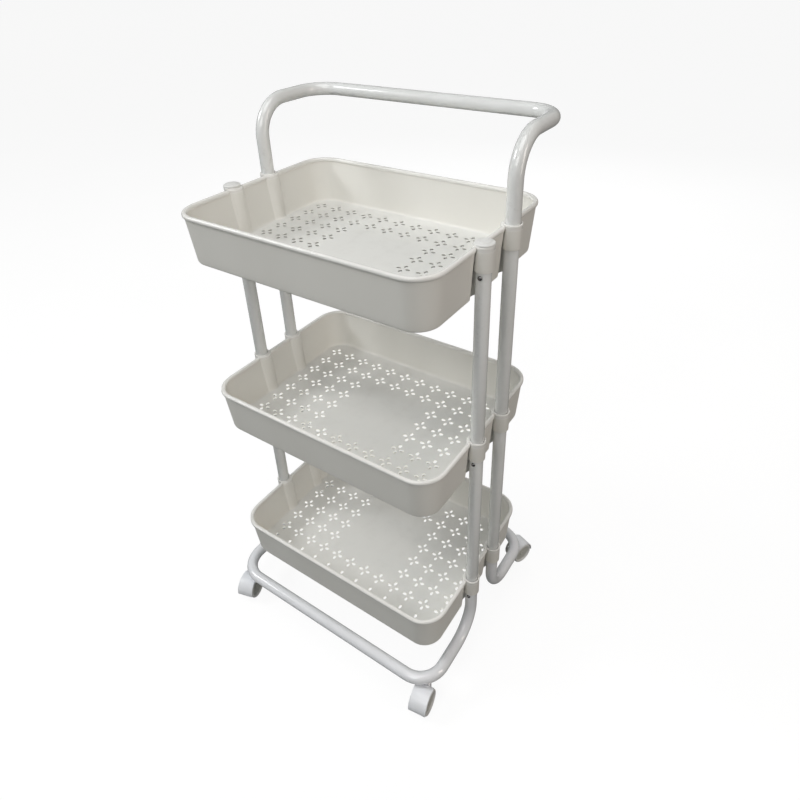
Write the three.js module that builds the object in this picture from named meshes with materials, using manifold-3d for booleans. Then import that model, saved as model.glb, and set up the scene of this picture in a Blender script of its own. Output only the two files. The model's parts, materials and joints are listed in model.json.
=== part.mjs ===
// Three-tier rolling utility cart: three moulded trays on bent and straight steel tubes,
// with a push handle at the rear and four twin-wheel swivel casters.
// Millimetres. +Z is up, +X runs along the trays' long side, -Y is the front, +Y is the handle side.
// The origin is on the ground, at the middle of the cart.

import * as THREE from 'three';
import { mergeVertices } from 'three/addons/utils/BufferGeometryUtils.js';
import Module from 'manifold-3d';

// ---- Driving dimensions ----

// Trays
const TRAY_LENGTH = 400;
const TRAY_WIDTH = 300;
const TRAY_HEIGHT = 72;
const TRAY_CORNER_RADIUS = 40;
const TRAY_WALL = 2.2;
const TRAY_FLOOR = 2.4;
const TRAY_DRAFT = 6.4;          // how far the wall leans in between the rim and the bottom
const RIM_BEAD = 6.4;            // width and height of the rolled rim
const RIM_BEAD_CHAMFER = 2;
const TRAY_PITCH = 286;          // from one rim to the next

// Tubes
const TUBE_DIAMETER = 19;
const TUBE_WALL = 1;
const POLE_OUTSET = 3;           // poles stand this far outside the trays' rim
const POLE_Y = 36;
const BAR_OUTSET = 17;           // bars of the handle and base tubes, outside the trays' rim
const LEG_BEND_RADIUS = 50;
const CORNER_BEND_RADIUS = 42;
const HANDLE_RISE = 102.5;       // handle bar above the top rim
const BASE_DROP = 116.5;         // base bars below the bottom rim
const CASTER_TO_TUBE = 3;        // from the top of a hood up to the base tube

// Where tubes plug together inside a tray's socket
const SOCKET_WALL = 2.4;
const SOCKET_LENGTH = 31;
const SOCKET_LIP = 1.2;          // how far the socket stands above the rim
const SEAT_DEPTH = 13;           // from the rim down to the seat between two tubes
const SEAT_THICKNESS = 2;
const SPIGOT_PAST_BUTTON = 11;   // reduced tube end, on below the button that locks it
const CHANNEL_GAP_TOP = 0.4;     // between a socket and the channel behind it, at the rim
const CHANNEL_GAP_BOTTOM = 3.2;
const CHANNEL_TOP_PLATE = 3;
const SOCKET_WEB = 8;

// Caps on the front poles
const CAP_HEIGHT = 4.2;
const CAP_DOME_DIAMETER = 15;
const CAP_EDGE = 2.2;

// Snap buttons
const BUTTON_DIAMETER = 5.8;
const BUTTON_PROUD = 1.9;        // how far the dome stands out of the tube
const BUTTON_DEPTH = 38;         // from the rim down to the button's centre
const LEAF_WIDTH = 6.6;
const LEAF_LENGTH = 19;
const LEAF_THICKNESS = 0.8;

// Casters
const WHEEL_DIAMETER = 40;
const WHEEL_THICKNESS = 8.2;
const WHEEL_DISH_DEPTH = 3;
const WHEEL_DISH_DIAMETER = 31;
const WHEEL_DISH_SLOPE = 1.5;
const CASTER_TRAIL = 15.5;        // from the swivel axis back to the axle
const HOOD_CORE = 12.2;
const HOOD_SHELL = 1.8;
const HOOD_FRONT_ANGLE = 52;     // degrees, measured the same way, where the hood starts
const BOSS_ABOVE_AXLE = 4;       // underside of the stem boss above the axle
const HOOD_LOW_ANGLE = 184;      // degrees, measured at the axle from ahead, up and over
const AXLE_DIAMETER = 4;
const AXLE_HUB_RADIUS = 7;
const AXLE_BEHIND_DISH = 2;      // how deep the axle ends lie behind the dished faces
const STEM_DIAMETER = 8;
const STEM_COLLAR_DIAMETER = 14;
const STEM_COLLAR_HEIGHT = 1.2;
const STEM_LENGTH_IN_HOOD = 15;
const STEM_LENGTH_IN_TUBE = 9;
const RIVET_NUT_BODY = 10.4;
const RIVET_NUT_FLANGE = 14;
const RIVET_NUT_FLANGE_HEIGHT = 1.2;
const RIVET_NUT_LENGTH = 8;
const CASTER_HEADINGS = {          // degrees that each caster rests turned about its stem
  front_left: 16,
  front_right: 8,
  rear_left: 200,
  rear_right: 160,
};

// Clearances
const FIT = 0.3;                 // between pieces that seat on each other
const RUNNING_FIT = 0.4;         // around a turning shaft, and beside a turning wheel
const WHEEL_TO_HOOD = 1.2;
const CUT_PAST = 5;              // how far a cutting shape runs past the face that it cuts

// Roundness of the faceted solids
const TUBE_SIDES = 12;
const BEND_STEPS = 5;
const TRAY_CORNER_STEPS = 5;
const WHEEL_SIDES = 20;
const SMALL_SIDES = 10;
const HOOD_ARC_STEPS = 7;

// ---- Worked out from the dimensions above ----

const TUBE_RADIUS = TUBE_DIAMETER / 2;
const TUBE_BORE = TUBE_RADIUS - TUBE_WALL;
const SPIGOT_RADIUS = TUBE_BORE - FIT;
const SPIGOT_BORE = SPIGOT_RADIUS - TUBE_WALL;
const SOCKET_BORE = TUBE_RADIUS + FIT;
const SOCKET_RADIUS = SOCKET_BORE + SOCKET_WALL;
const SEAT_BORE = SPIGOT_RADIUS + FIT;
const SHOULDER_DEPTH = SEAT_DEPTH - FIT;
const SPIGOT_END_DEPTH = BUTTON_DEPTH + SPIGOT_PAST_BUTTON;
const SPIGOT_LENGTH = SPIGOT_END_DEPTH - SHOULDER_DEPTH;
const TUBE_END_DEPTH = SEAT_DEPTH + SEAT_THICKNESS + FIT;
const WALL_INSET = (RIM_BEAD - TRAY_WALL) / 2;
const WHEEL_RADIUS = WHEEL_DIAMETER / 2;
const WHEEL_CORNER_RADIUS = WHEEL_RADIUS / Math.cos(Math.PI / WHEEL_SIDES);
const WHEEL_INNER_FACE = HOOD_CORE / 2 + RUNNING_FIT;
const WHEEL_OUTER_FACE = WHEEL_INNER_FACE + WHEEL_THICKNESS;
const HOOD_INNER_RADIUS = WHEEL_RADIUS + WHEEL_TO_HOOD;
const HOOD_OUTER_RADIUS = HOOD_INNER_RADIUS + HOOD_SHELL;
const HOOD_TOP = WHEEL_RADIUS + HOOD_OUTER_RADIUS;
const BASE_UNDERSIDE = HOOD_TOP + CASTER_TO_TUBE;
const BASE_BAR_HEIGHT = BASE_UNDERSIDE + TUBE_RADIUS;
const BOTTOM_RIM_HEIGHT = BASE_BAR_HEIGHT + BASE_DROP;
const STEM_SHOULDER = BASE_UNDERSIDE - 2 * FIT - RIVET_NUT_FLANGE_HEIGHT;
const AXLE_HALF_LENGTH = WHEEL_OUTER_FACE - WHEEL_DISH_DEPTH - AXLE_BEHIND_DISH;
const TIERS = ['bottom', 'middle', 'top'];
const rimHeight = (tier) => BOTTOM_RIM_HEIGHT + TIERS.indexOf(tier) * TRAY_PITCH;
const POLE_X = TRAY_LENGTH / 2 + POLE_OUTSET;
const BAR_Y = TRAY_WIDTH / 2 + BAR_OUTSET;
const LEAF_OFFSET = (SPIGOT_BORE - FIT) * Math.cos(Math.asin(LEAF_WIDTH / 2 / (SPIGOT_BORE - FIT))) - FIT;
const CORNER_INSET = CORNER_BEND_RADIUS * (1 - Math.SQRT1_2);
const CASTER_X = POLE_X - CORNER_INSET;
const CASTER_Y = BAR_Y - CORNER_INSET;

const POLES = [
  { name: 'front_left', x: -POLE_X, y: -POLE_Y, outward: -1 },
  { name: 'front_right', x: POLE_X, y: -POLE_Y, outward: -1 },
  { name: 'rear_left', x: -POLE_X, y: POLE_Y, outward: 1 },
  { name: 'rear_right', x: POLE_X, y: POLE_Y, outward: 1 },
];

// ---- Materials ----

const finish = (color, roughness, metalness) =>
  new THREE.MeshStandardMaterial({ color, roughness, metalness });
const trayPlastic = () => finish(0xe4e2da, 0.45, 0);
const whitePaint = () => finish(0xf0f0ec, 0.3, 0);
const capPlastic = () => finish(0xf2f2ee, 0.35, 0);
const polishedSteel = () => finish(0xb9bbbd, 0.2, 1);
const hoodPlastic = () => finish(0xeceef2, 0.35, 0);
const wheelPlastic = () => finish(0x8f8f84, 0.55, 0);

// ---- Solids ----

const wasm = await Module();
wasm.setup();

function toSolid(geometry) {
  const bare = geometry.clone();
  bare.deleteAttribute('normal');
  bare.deleteAttribute('uv');
  const merged = mergeVertices(bare, 1e-4);
  const mesh = new wasm.Mesh({
    numProp: 3,
    vertProperties: new Float32Array(merged.attributes.position.array),
    triVerts: new Uint32Array(merged.index.array),
  });
  return new wasm.Manifold(mesh);
}

function toGeometry(solid) {
  const mesh = solid.getMesh();
  const geometry = new THREE.BufferGeometry();
  geometry.setAttribute('position', new THREE.BufferAttribute(mesh.vertProperties, 3));
  geometry.setIndex(new THREE.BufferAttribute(mesh.triVerts, 1));
  geometry.computeVertexNormals();
  return geometry;
}

const joined = (first, ...others) => others.reduce((sum, next) => sum.add(next), first);
const cut = (first, ...others) => others.reduce((rest, next) => rest.subtract(next), first);

// A profile of [radius, height] points turned about the vertical axis.
function turned(profile, sides) {
  const points = profile.map(([radius, height]) => new THREE.Vector2(radius, height));
  const geometry = new THREE.LatheGeometry(points, sides);
  geometry.rotateX(Math.PI / 2);
  return geometry;
}

// A ring profile closes on its own first point.
const turnedRing = (profile, sides) => turned([...profile, profile[0]], sides);

function uprightCylinder(radiusBottom, radiusTop, sides, bottom, top) {
  const geometry = new THREE.CylinderGeometry(radiusTop, radiusBottom, top - bottom, sides);
  geometry.rotateX(Math.PI / 2);
  geometry.translate(0, 0, (top + bottom) / 2);
  return geometry;
}

function box(x, y, z, sizeX, sizeY, sizeZ) {
  const geometry = new THREE.BoxGeometry(sizeX, sizeY, sizeZ);
  geometry.translate(x, y, z);
  return geometry;
}

const moved = (geometry, x, y, z) => geometry.clone().translate(x, y, z);

// ---- Bent tubes ----

// A tube's centre line: straight runs joined by circular bends, with sections only where it bends.
class BentRoute extends THREE.Curve {
  constructor(corners, radii) {
    super();
    this.points = [corners[0]];
    this.tangents = [corners[1].clone().sub(corners[0]).normalize()];
    for (let i = 1; i < corners.length - 1; i += 1) {
      this.addBend(corners[i - 1], corners[i], corners[i + 1], radii[i - 1]);
    }
    this.points.push(corners.at(-1));
    this.tangents.push(corners.at(-1).clone().sub(corners.at(-2)).normalize());
  }

  addBend(before, corner, after, radius) {
    const incoming = corner.clone().sub(before).normalize();
    const outgoing = after.clone().sub(corner).normalize();
    const turn = incoming.angleTo(outgoing);
    const start = corner.clone().addScaledVector(incoming, -radius * Math.tan(turn / 2));
    const inward = outgoing.clone().addScaledVector(incoming, -outgoing.dot(incoming)).normalize();
    for (let step = 0; step <= BEND_STEPS; step += 1) {
      const angle = (turn * step) / BEND_STEPS;
      const point = start.clone().addScaledVector(incoming, radius * Math.sin(angle));
      this.points.push(point.addScaledVector(inward, radius * (1 - Math.cos(angle))));
      const tangent = incoming.clone().multiplyScalar(Math.cos(angle));
      this.tangents.push(tangent.addScaledVector(inward, Math.sin(angle)));
    }
  }

  get sections() {
    return this.points.length - 1;
  }

  getPoint(t, target = new THREE.Vector3()) {
    return target.copy(this.points[Math.round(t * this.sections)]);
  }

  getPointAt(u, target) {
    return this.getPoint(u, target);
  }

  getTangentAt(u, target = new THREE.Vector3()) {
    return target.copy(this.tangents[Math.round(u * this.sections)]);
  }
}

function circlePoints(radius, sides) {
  const points = [];
  for (let i = 0; i < sides; i += 1) {
    const angle = (2 * Math.PI * i) / sides;
    points.push(new THREE.Vector2(radius * Math.cos(angle), radius * Math.sin(angle)));
  }
  return points;
}

function tubeAlong(route) {
  const section = new THREE.Shape(circlePoints(TUBE_RADIUS, TUBE_SIDES));
  section.holes.push(new THREE.Path(circlePoints(TUBE_BORE, TUBE_SIDES)));
  return new THREE.ExtrudeGeometry(section, {
    steps: route.sections,
    bevelEnabled: false,
    extrudePath: route,
  });
}

// A U of tube: two legs on the poles' lines, bent out level to a bar that runs along X.
function uTubeRoute(legEnd, barHeight, side) {
  const corners = [
    [-POLE_X, POLE_Y, legEnd],
    [-POLE_X, POLE_Y, barHeight],
    [-POLE_X, BAR_Y, barHeight],
    [POLE_X, BAR_Y, barHeight],
    [POLE_X, POLE_Y, barHeight],
    [POLE_X, POLE_Y, legEnd],
  ].map(([x, y, z]) => new THREE.Vector3(x, side * y, z));
  return new BentRoute(corners, [LEG_BEND_RADIUS, CORNER_BEND_RADIUS, CORNER_BEND_RADIUS, LEG_BEND_RADIUS]);
}

// The reduced end that plugs down into the tube below, from its shoulder at height zero.
// It runs a little way up inside the tube that it belongs to, so that the two join.
function spigot() {
  const overlap = TUBE_WALL;
  return turnedRing([
    [SPIGOT_BORE, -SPIGOT_LENGTH],
    [SPIGOT_RADIUS, -SPIGOT_LENGTH],
    [SPIGOT_RADIUS, 0],
    [TUBE_RADIUS, 0],
    [TUBE_RADIUS, overlap],
    [SPIGOT_BORE, overlap],
  ], TUBE_SIDES);
}

// The round hole that a snap button works in, along Y through one side of the tube.
function buttonHole(pole, height) {
  const geometry = new THREE.CylinderGeometry(
    BUTTON_DIAMETER / 2 + FIT, BUTTON_DIAMETER / 2 + FIT, TUBE_RADIUS, SMALL_SIDES);
  geometry.translate(pole.x, pole.y + pole.outward * TUBE_RADIUS, height);
  return toSolid(geometry);
}

// ---- Pieces: tubes ----

function polePiece(pole, lowerTier, upperTier) {
  const bottom = rimHeight(lowerTier) - SHOULDER_DEPTH;
  const top = rimHeight(upperTier) - TUBE_END_DEPTH;
  const tube = turnedRing([
    [SPIGOT_BORE, bottom - SPIGOT_LENGTH],
    [SPIGOT_RADIUS, bottom - SPIGOT_LENGTH],
    [SPIGOT_RADIUS, bottom],
    [TUBE_RADIUS, bottom],
    [TUBE_RADIUS, top],
    [TUBE_BORE, top],
    [TUBE_BORE, bottom + TUBE_WALL],
    [SPIGOT_BORE, bottom + TUBE_WALL],
  ], TUBE_SIDES);
  const solid = toSolid(moved(tube, pole.x, pole.y, 0));
  return toGeometry(cut(
    solid,
    buttonHole(pole, rimHeight(upperTier) - BUTTON_DEPTH),
    buttonHole(pole, rimHeight(lowerTier) - BUTTON_DEPTH)));
}

function baseTubePiece(side) {
  const legEnd = BOTTOM_RIM_HEIGHT - TUBE_END_DEPTH;
  const tube = toSolid(tubeAlong(uTubeRoute(legEnd, BASE_BAR_HEIGHT, side)));
  const buttonHeight = BOTTOM_RIM_HEIGHT - BUTTON_DEPTH;
  const legs = POLES.filter((pole) => pole.outward === side);
  const buttonHoles = legs.map((pole) => buttonHole(pole, buttonHeight));
  const nutHoles = [-CASTER_X, CASTER_X].map((x) => {
    const hole = uprightCylinder(
      RIVET_NUT_BODY / 2 + FIT, RIVET_NUT_BODY / 2 + FIT, TUBE_SIDES,
      BASE_UNDERSIDE - CUT_PAST, BASE_BAR_HEIGHT);
    return toSolid(moved(hole, x, side * CASTER_Y, 0));
  });
  return toGeometry(cut(tube, ...buttonHoles, ...nutHoles));
}

function handlePiece() {
  const shoulder = rimHeight('top') - SHOULDER_DEPTH;
  const tube = toSolid(tubeAlong(uTubeRoute(shoulder, rimHeight('top') + HANDLE_RISE, 1)));
  const ends = [-POLE_X, POLE_X].map((x) => toSolid(moved(spigot(), x, POLE_Y, shoulder)));
  const legs = POLES.filter((pole) => pole.outward > 0);
  const buttonHoles = legs.map((pole) => buttonHole(pole, rimHeight('top') - BUTTON_DEPTH));
  return toGeometry(cut(joined(tube, ...ends), ...buttonHoles));
}

function capPiece(pole) {
  const rim = rimHeight('top');
  const underside = rim + SOCKET_LIP + FIT;
  const shoulder = rim - SHOULDER_DEPTH;
  const geometry = turned([
    [0, shoulder],
    [SPIGOT_BORE, shoulder],
    [SPIGOT_BORE, shoulder - SPIGOT_LENGTH],
    [SPIGOT_RADIUS, shoulder - SPIGOT_LENGTH],
    [SPIGOT_RADIUS, shoulder],
    [TUBE_RADIUS, shoulder],
    [TUBE_RADIUS, underside],
    [SOCKET_RADIUS, underside],
    [SOCKET_RADIUS, underside + CAP_EDGE],
    [CAP_DOME_DIAMETER / 2, underside + CAP_HEIGHT],
    [0, underside + CAP_HEIGHT],
  ], TUBE_SIDES);
  const solid = toSolid(moved(geometry, pole.x, pole.y, 0));
  return toGeometry(cut(solid, buttonHole(pole, rim - BUTTON_DEPTH)));
}

// ---- Pieces: snap buttons ----

// A domed pin on a flat leaf spring that lies inside the tube. It points along -Y here.
function buttonPiece(pole, height) {
  const radius = BUTTON_DIAMETER / 2;
  const tip = TUBE_RADIUS + BUTTON_PROUD;
  const pin = turned([
    [0, LEAF_OFFSET - LEAF_THICKNESS / 2],
    [radius, LEAF_OFFSET - LEAF_THICKNESS / 2],
    [radius, TUBE_RADIUS],
    [radius * Math.SQRT1_2, tip - BUTTON_PROUD * (1 - Math.SQRT1_2)],
    [0, tip],
  ], SMALL_SIDES);
  pin.rotateX(Math.PI / 2);
  const leafCentre = LEAF_OFFSET - LEAF_THICKNESS / 2;
  const leaf = box(0, -leafCentre, 0, LEAF_WIDTH, LEAF_THICKNESS, LEAF_LENGTH);
  const geometry = toGeometry(joined(toSolid(pin), toSolid(leaf)));
  if (pole.outward > 0) {
    geometry.rotateZ(Math.PI);
  }
  return moved(geometry, pole.x, pole.y, height);
}

// ---- Pieces: trays ----

function roundedRectangle(length, width, radius, Outline) {
  const outline = new Outline();
  const x = length / 2 - radius;
  const y = width / 2 - radius;
  const corners = [[x, y, 0], [-x, y, 1], [-x, -y, 2], [x, -y, 3]];
  const points = [];
  for (const [cornerX, cornerY, quarter] of corners) {
    for (let step = 0; step <= TRAY_CORNER_STEPS; step += 1) {
      const angle = (Math.PI / 2) * (quarter + step / TRAY_CORNER_STEPS);
      points.push(new THREE.Vector2(cornerX + radius * Math.cos(angle), cornerY + radius * Math.sin(angle)));
    }
  }
  outline.setFromPoints(points);
  return outline;
}

// A solid tub shape whose outline is inset from the rim's outline, leaning in towards its bottom.
// Heights are measured from the rim, so the bottom is negative.
function tubSolid(inset, bottom, top) {
  const length = TRAY_LENGTH - 2 * inset;
  const width = TRAY_WIDTH - 2 * inset;
  const outline = roundedRectangle(length, width, TRAY_CORNER_RADIUS - inset, THREE.Shape);
  const geometry = new THREE.ExtrudeGeometry(outline, { depth: top - bottom, bevelEnabled: false });
  geometry.translate(0, 0, bottom);
  const position = geometry.attributes.position;
  for (let i = 0; i < position.count; i += 1) {
    const lean = (TRAY_DRAFT * -position.getZ(i)) / TRAY_HEIGHT;
    position.setX(i, position.getX(i) * (1 - lean / (length / 2)));
    position.setY(i, position.getY(i) * (1 - lean / (width / 2)));
  }
  return toSolid(geometry);
}

// The rolled rim, a bead with chamfered edges that follows the tray's outline.
function rimBead() {
  const inset = RIM_BEAD_CHAMFER;
  const ringWidth = RIM_BEAD - inset;
  const ring = roundedRectangle(
    TRAY_LENGTH - 2 * inset, TRAY_WIDTH - 2 * inset, TRAY_CORNER_RADIUS - inset, THREE.Shape);
  ring.holes.push(roundedRectangle(
    TRAY_LENGTH - 2 * ringWidth, TRAY_WIDTH - 2 * ringWidth, TRAY_CORNER_RADIUS - ringWidth, THREE.Path));
  const geometry = new THREE.ExtrudeGeometry(ring, {
    depth: RIM_BEAD - 2 * RIM_BEAD_CHAMFER,
    bevelEnabled: true,
    bevelThickness: RIM_BEAD_CHAMFER,
    bevelSize: RIM_BEAD_CHAMFER,
    bevelSegments: 1,
  });
  geometry.translate(0, 0, RIM_BEAD_CHAMFER - RIM_BEAD);
  return toSolid(geometry);
}

// A socket holds the tubes that meet at a tray, with a seat between the two tube ends.
function socket() {
  return turnedRing([
    [SOCKET_BORE, -SOCKET_LENGTH],
    [SOCKET_RADIUS, -SOCKET_LENGTH],
    [SOCKET_RADIUS, SOCKET_LIP],
    [SOCKET_BORE, SOCKET_LIP],
    [SOCKET_BORE, -SEAT_DEPTH],
    [SEAT_BORE, -SEAT_DEPTH],
    [SEAT_BORE, -SEAT_DEPTH - SEAT_THICKNESS],
    [SOCKET_BORE, -SEAT_DEPTH - SEAT_THICKNESS],
  ], TUBE_SIDES);
}

// A tapering column about a pole, as wide as its socket plus a gap that grows downwards.
function channelColumn(extra, bottom, top) {
  const slope = (CHANNEL_GAP_BOTTOM - CHANNEL_GAP_TOP) / TRAY_HEIGHT;
  const radiusAt = (height) => SOCKET_RADIUS + CHANNEL_GAP_TOP + extra - slope * height;
  return uprightCylinder(radiusAt(bottom), radiusAt(top), TUBE_SIDES, bottom, top);
}

function trayPiece() {
  const atPoles = (geometry) => POLES.map((pole) => toSolid(moved(geometry, pole.x, pole.y, 0)));
  const beadMiddle = -RIM_BEAD / 2;
  const shell = tubSolid(WALL_INSET, -TRAY_HEIGHT, beadMiddle);
  const hollow = tubSolid(WALL_INSET + TRAY_WALL, TRAY_FLOOR - TRAY_HEIGHT, CUT_PAST);
  const bosses = atPoles(channelColumn(TRAY_WALL, -TRAY_HEIGHT - CUT_PAST, 0));
  const channels = atPoles(channelColumn(0, -TRAY_HEIGHT - CUT_PAST, -CHANNEL_TOP_PLATE));
  const bores = atPoles(uprightCylinder(
    SOCKET_RADIUS - FIT, SOCKET_RADIUS - FIT, TUBE_SIDES, -SOCKET_LENGTH, CUT_PAST));
  const sockets = atPoles(socket());
  const webLength = TRAY_WALL + CHANNEL_GAP_BOTTOM;
  const webs = POLES.map((pole) => {
    const reach = POLE_X - SOCKET_RADIUS - webLength / 2 + FIT;
    const height = SOCKET_LENGTH - CHANNEL_TOP_PLATE;
    return toSolid(box(
      Math.sign(pole.x) * reach, pole.y, -CHANNEL_TOP_PLATE - height / 2, webLength, SOCKET_WEB, height));
  });

  // The bosses are kept only inside the tray's own outline, as the backs of the channels.
  const outline = tubSolid(WALL_INSET, -TRAY_HEIGHT, 0);
  const backs = joined(...bosses).intersect(outline);
  const tub = cut(joined(cut(shell.add(rimBead()), hollow), backs, ...webs), ...channels);
  const withWebs = joined(tub, ...webs.map((web) => web.intersect(outline)));
  return joined(cut(withWebs, ...bores), ...sockets);
}

// ---- Pieces: casters ----
// Each is built about its own swivel axis at x = y = 0, on the ground, with the wheels behind, along -Y.


// Turns a drawing in the plane of Y and Z, extruded, into a solid centred on x = 0.
function slab(outline, thickness) {
  const geometry = new THREE.ExtrudeGeometry(outline, { depth: thickness, bevelEnabled: false });
  geometry.translate(0, 0, -thickness / 2);
  const upright = new THREE.Matrix4().makeBasis(
    new THREE.Vector3(0, 1, 0), new THREE.Vector3(0, 0, 1), new THREE.Vector3(1, 0, 0));
  return toSolid(geometry.applyMatrix4(upright));
}

// Points of an arc about the axle, from one angle to another in degrees.
function axleArc(radius, fromDegrees, toDegrees) {
  const points = [];
  for (let step = 0; step <= HOOD_ARC_STEPS; step += 1) {
    const angle = THREE.MathUtils.degToRad(fromDegrees + ((toDegrees - fromDegrees) * step) / HOOD_ARC_STEPS);
    points.push(new THREE.Vector2(
      -CASTER_TRAIL + radius * Math.cos(angle), WHEEL_RADIUS + radius * Math.sin(angle)));
  }
  return points;
}

function hoodPiece() {
  const overTheTop = 90;
  const cover = new THREE.Shape([
    ...axleArc(HOOD_OUTER_RADIUS, HOOD_LOW_ANGLE, HOOD_FRONT_ANGLE),
    ...axleArc(HOOD_INNER_RADIUS, HOOD_FRONT_ANGLE, HOOD_LOW_ANGLE),
  ]);
  const coreEdge = HOOD_INNER_RADIUS + HOOD_SHELL / 2;
  const bossFront = STEM_DIAMETER / 2 + HOOD_SHELL;
  const core = new THREE.Shape([
    ...axleArc(coreEdge, HOOD_LOW_ANGLE, overTheTop),
    new THREE.Vector2(bossFront, WHEEL_RADIUS + coreEdge),
    new THREE.Vector2(bossFront, WHEEL_RADIUS + BOSS_ABOVE_AXLE),
    ...axleArc(AXLE_HUB_RADIUS, 0, HOOD_LOW_ANGLE - 360),
  ]);
  const stemHole = uprightCylinder(
    STEM_DIAMETER / 2 + RUNNING_FIT, STEM_DIAMETER / 2 + RUNNING_FIT, TUBE_SIDES,
    HOOD_TOP - STEM_LENGTH_IN_HOOD - RUNNING_FIT, HOOD_TOP + CUT_PAST);
  const axleHole = new THREE.CylinderGeometry(
    AXLE_DIAMETER / 2 + FIT, AXLE_DIAMETER / 2 + FIT, HOOD_CORE + 2 * CUT_PAST, TUBE_SIDES);
  axleHole.rotateZ(Math.PI / 2);
  axleHole.translate(0, -CASTER_TRAIL, WHEEL_RADIUS);
  const body = joined(slab(cover, 2 * WHEEL_OUTER_FACE), slab(core, HOOD_CORE));
  return toGeometry(cut(body, toSolid(stemHole), toSolid(axleHole)));
}

// The fixed stem: a threaded shank up into the tube, a collar, and a plain pin that the hood turns on.
function stemPiece() {
  const radius = STEM_DIAMETER / 2;
  const collar = STEM_COLLAR_DIAMETER / 2;
  const shank = radius - FIT;
  return turned([
    [0, HOOD_TOP - STEM_LENGTH_IN_HOOD],
    [radius, HOOD_TOP - STEM_LENGTH_IN_HOOD],
    [radius, STEM_SHOULDER - STEM_COLLAR_HEIGHT],
    [collar, STEM_SHOULDER - STEM_COLLAR_HEIGHT],
    [collar, STEM_SHOULDER],
    [shank, STEM_SHOULDER],
    [shank, BASE_UNDERSIDE + STEM_LENGTH_IN_TUBE],
    [0, BASE_UNDERSIDE + STEM_LENGTH_IN_TUBE],
  ], SMALL_SIDES);
}

// The threaded rivet nut in the tube's underside that the stem screws into.
function rivetNutPiece() {
  const bore = STEM_DIAMETER / 2;
  const flangeTop = BASE_UNDERSIDE - FIT;
  const flangeBottom = flangeTop - RIVET_NUT_FLANGE_HEIGHT;
  return turnedRing([
    [bore, flangeBottom],
    [RIVET_NUT_FLANGE / 2, flangeBottom],
    [RIVET_NUT_FLANGE / 2, flangeTop],
    [RIVET_NUT_BODY / 2, flangeTop],
    [RIVET_NUT_BODY / 2, flangeTop + RIVET_NUT_LENGTH],
    [bore, flangeTop + RIVET_NUT_LENGTH],
  ], SMALL_SIDES);
}

function axlePiece() {
  const geometry = new THREE.CylinderGeometry(
    AXLE_DIAMETER / 2, AXLE_DIAMETER / 2, 2 * AXLE_HALF_LENGTH, TUBE_SIDES);
  geometry.rotateZ(Math.PI / 2);
  geometry.translate(0, -CASTER_TRAIL, WHEEL_RADIUS);
  return geometry;
}

// A wheel with a dished outer face and a blind bore, on the side given by side = -1 or 1.
function wheelPiece(side) {
  const bore = AXLE_DIAMETER / 2 + RUNNING_FIT;
  const dishFace = WHEEL_OUTER_FACE - WHEEL_DISH_DEPTH;
  const geometry = turned([
    [0, AXLE_HALF_LENGTH + RUNNING_FIT],
    [bore, AXLE_HALF_LENGTH + RUNNING_FIT],
    [bore, WHEEL_INNER_FACE],
    [WHEEL_CORNER_RADIUS, WHEEL_INNER_FACE],
    [WHEEL_CORNER_RADIUS, WHEEL_OUTER_FACE],
    [WHEEL_DISH_DIAMETER / 2, WHEEL_OUTER_FACE],
    [WHEEL_DISH_DIAMETER / 2 - WHEEL_DISH_SLOPE, dishFace],
    [0, dishFace],
  ], WHEEL_SIDES);
  geometry.rotateZ(Math.PI / WHEEL_SIDES);
  geometry.rotateY((side * Math.PI) / 2);
  geometry.translate(0, -CASTER_TRAIL, WHEEL_RADIUS);
  return geometry;
}

// ---- Assembly ----

const cart = new THREE.Group();

function addPiece(parent, name, geometry, material) {
  const mesh = new THREE.Mesh(geometry, material);
  mesh.name = name;
  parent.add(mesh);
  return mesh;
}

const traySolid = trayPiece();
for (const tier of TIERS) {
  const tray = addPiece(cart, `tray_${tier}`, toGeometry(traySolid), trayPlastic());
  tray.position.z = rimHeight(tier);
}

addPiece(cart, 'base_tube_front', baseTubePiece(-1), whitePaint());
addPiece(cart, 'base_tube_rear', baseTubePiece(1), whitePaint());
addPiece(cart, 'handle', handlePiece(), whitePaint());

for (const pole of POLES) {
  addPiece(cart, `pole_lower_${pole.name}`, polePiece(pole, 'bottom', 'middle'), whitePaint());
  addPiece(cart, `pole_upper_${pole.name}`, polePiece(pole, 'middle', 'top'), whitePaint());
  for (const tier of TIERS) {
    const button = buttonPiece(pole, rimHeight(tier) - BUTTON_DEPTH);
    addPiece(cart, `snap_button_${tier}_${pole.name}`, button, polishedSteel());
  }
  if (pole.outward < 0) {
    addPiece(cart, `pole_cap_${pole.name}`, capPiece(pole), capPlastic());
  }
}

for (const pole of POLES) {
  const mounted = new THREE.Group();
  mounted.position.set(Math.sign(pole.x) * CASTER_X, Math.sign(pole.y) * CASTER_Y, 0);
  cart.add(mounted);
  addPiece(mounted, `rivet_nut_${pole.name}`, rivetNutPiece(), polishedSteel());
  addPiece(mounted, `caster_stem_${pole.name}`, stemPiece(), polishedSteel());

  const swivel = new THREE.Group();
  swivel.rotation.z = THREE.MathUtils.degToRad(CASTER_HEADINGS[pole.name]);
  mounted.add(swivel);
  addPiece(swivel, `caster_hood_${pole.name}`, hoodPiece(), hoodPlastic());
  addPiece(swivel, `caster_axle_${pole.name}`, axlePiece(), polishedSteel());
  addPiece(swivel, `caster_wheel_a_${pole.name}`, wheelPiece(-1), wheelPlastic());
  addPiece(swivel, `caster_wheel_b_${pole.name}`, wheelPiece(1), wheelPlastic());
}

export default cart;
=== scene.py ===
# %% [markdown]
# # A three-tier rolling utility cart
# This lesson builds the looks of a light household cart: three moulded trays on bent white tubes, a push
# handle and four small twin-wheel casters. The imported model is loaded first, because it says where every
# piece is. All sizes here are metres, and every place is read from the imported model's own boxes.

# %% Load the frame
import json
import math

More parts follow.
